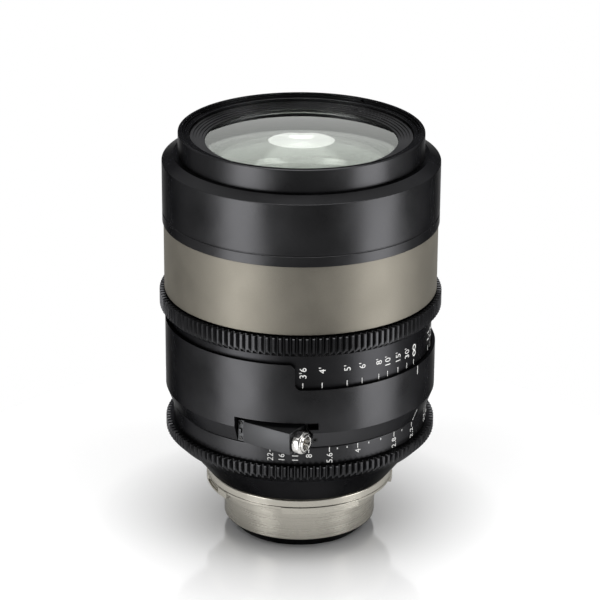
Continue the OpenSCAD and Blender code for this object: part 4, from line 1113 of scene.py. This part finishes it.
@dataclass
class Studio:
    """White table, soft lamps and the camera.

    The table glows towards the camera and in reflections, so that it turns white and keeps the
    object's shadow.
    The glow fades from its full level outside to nothing at the object: painted shade round the
    lens, on top of the real shadow.
    """

    floor_z: float = CAD_BOX[0][2]
    target: tuple[float, float, float] = (0.0, 0.0, 75.4 * MM)
    distance: float = 1.0954
    elevation: float = 21.854
    lens: float = 167.43
    sensor: float = 36.0
    roll: float = 0.35
    shift: float = -0.51 / IMAGE_SIDE
    clip: tuple[float, float] = (0.05, 50.0)
    table_r: float = 0.165
    table_sides: int = 128
    table_grey: float = 0.7
    table_roughness: float = 0.1
    table_gloss: float = 1.0
    floor_glow: float = 0.45
    # Radii over which the glow fades out towards the object: painted shade round the lens.
    painted_shade_radii: tuple[float, float] = (0.032, 0.085)
    room_level: float = 0.24
    room_depth: float = 0.8
    lamps: tuple[Lamp, ...] = (
        Lamp("left_strip", -50.0, 1.1, -0.2, (0.62, 1.5), 13.0),
        Lamp("right_strip", 66.5, 1.1, -0.2, (0.62, 1.5), 13.0),
        Lamp("top_box", 0.0, 0.4, 1.1, (1.7, 0.5), 11.0),
        Lamp("back_disc", 180.0, 1.05, 0.57, (0.13, 0.17), 0.1, Outline.OVAL),
    )

    def build(self) -> None:
        """Builds the camera, the floor, the world and the lamps."""
        self._camera()
        self._floor()
        self._world()
        for lamp in self.lamps:
            lamp.build(Vector(self.target))
        bpy.context.scene.view_settings.view_transform = "Standard"
        LOG.info("studio ready")

    def _camera(self) -> None:
        """Places the camera at the photograph's viewing angle."""
        tilt = math.radians(self.elevation)
        data = bpy.data.cameras.new("camera")
        data.lens, data.sensor_width, data.shift_x = self.lens, self.sensor, self.shift
        data.clip_start, data.clip_end = self.clip
        camera = bpy.data.objects.new("camera", data)
        back = Vector((0.0, -math.cos(tilt), math.sin(tilt)))
        place = Matrix.Translation(Vector(self.target) + back * self.distance)
        look = Matrix.Rotation(math.pi / 2 - tilt, 4, "X")
        camera.matrix_world = place @ look @ Matrix.Rotation(math.radians(self.roll), 4, "Z")
        bpy.context.scene.collection.objects.link(camera)
        bpy.context.scene.camera = camera

    def _floor(self) -> None:
        """Builds the round table that the lens stands on."""
        work = bmesh.new()
        bmesh.ops.create_circle(
            work, cap_ends=True, segments=self.table_sides, radius=self.table_r
        )
        bmesh.ops.translate(work, vec=(0.0, 0.0, self.floor_z), verts=work.verts)
        mesh = mesh_from(work, "floor")
        mesh.materials.append(self._floor_material())
        floor = bpy.data.objects.new("floor", mesh)
        bpy.context.scene.collection.objects.link(floor)

    def _floor_material(self) -> bpy.types.Material:
        """Builds the material of the table.

        Returns:
            The finished material.
        """
        graph = NodeGraph(bpy.data.materials.new("floor_white"))
        surface = graph.add(
            "BsdfPrincipled",
            Base_Color=(self.table_grey, self.table_grey, self.table_grey, 1.0),
            Roughness=self.table_roughness,
            Specular_IOR_Level=self.table_gloss,
        )
        path = graph.add("LightPath")
        seen = graph.math("MAXIMUM", path.outputs["Is Camera Ray"], graph.mirrored(path))
        split = graph.add("SeparateXYZ", Vector=graph.add("TexCoord").outputs["Object"])
        # The glow fades to nothing near the object: painted shade on the table round the lens.
        level = graph.ramp(graph.radius(split), self.painted_shade_radii, (0.0, self.floor_glow))
        glow = graph.add("Emission", Strength=graph.math("MULTIPLY", seen, level))
        both = graph.add("AddShader")
        for index, shader in enumerate((surface, glow)):
            graph.tree.links.new(shader.outputs[0], both.inputs[index])
        return graph.finish(both)

    def _world(self) -> None:
        """Builds the room: white to the camera and behind the object, dim in front of it."""
        graph = NodeGraph(bpy.data.worlds.new("room"))
        path = graph.add("LightPath")
        split = graph.add("SeparateXYZ", Vector=graph.add("TexCoord").outputs["Generated"])
        depth = graph.ramp(
            split.outputs["Y"], (0.0, self.room_depth), (self.room_level, 1.0)
        )
        around = graph.add("Mix", Factor=graph.mirrored(path), A=self.room_level, B=depth)
        seen = graph.add(
            "Mix", Factor=path.outputs["Is Camera Ray"], A=around.outputs["Result"], B=1.0
        )
        background = graph.add(
            "Background", Color=(1.0, 1.0, 1.0, 1.0), Strength=seen.outputs["Result"]
        )
        bpy.context.scene.world = graph.finish(background)


def main() -> None:
    """Builds the studio and every part."""
    logging.basicConfig(level=logging.INFO, format="%(name)s: %(message)s")
    Studio().build()
    for assembly in (FrontEnd(), MiddleBarrel(), IrisDrive(), RearEnd(), DataConnector()):
        assembly.build()
    FocusScale().build()
    IrisScale().build()
    IndexLines().build()


if __name__ == "__main__":
    main()
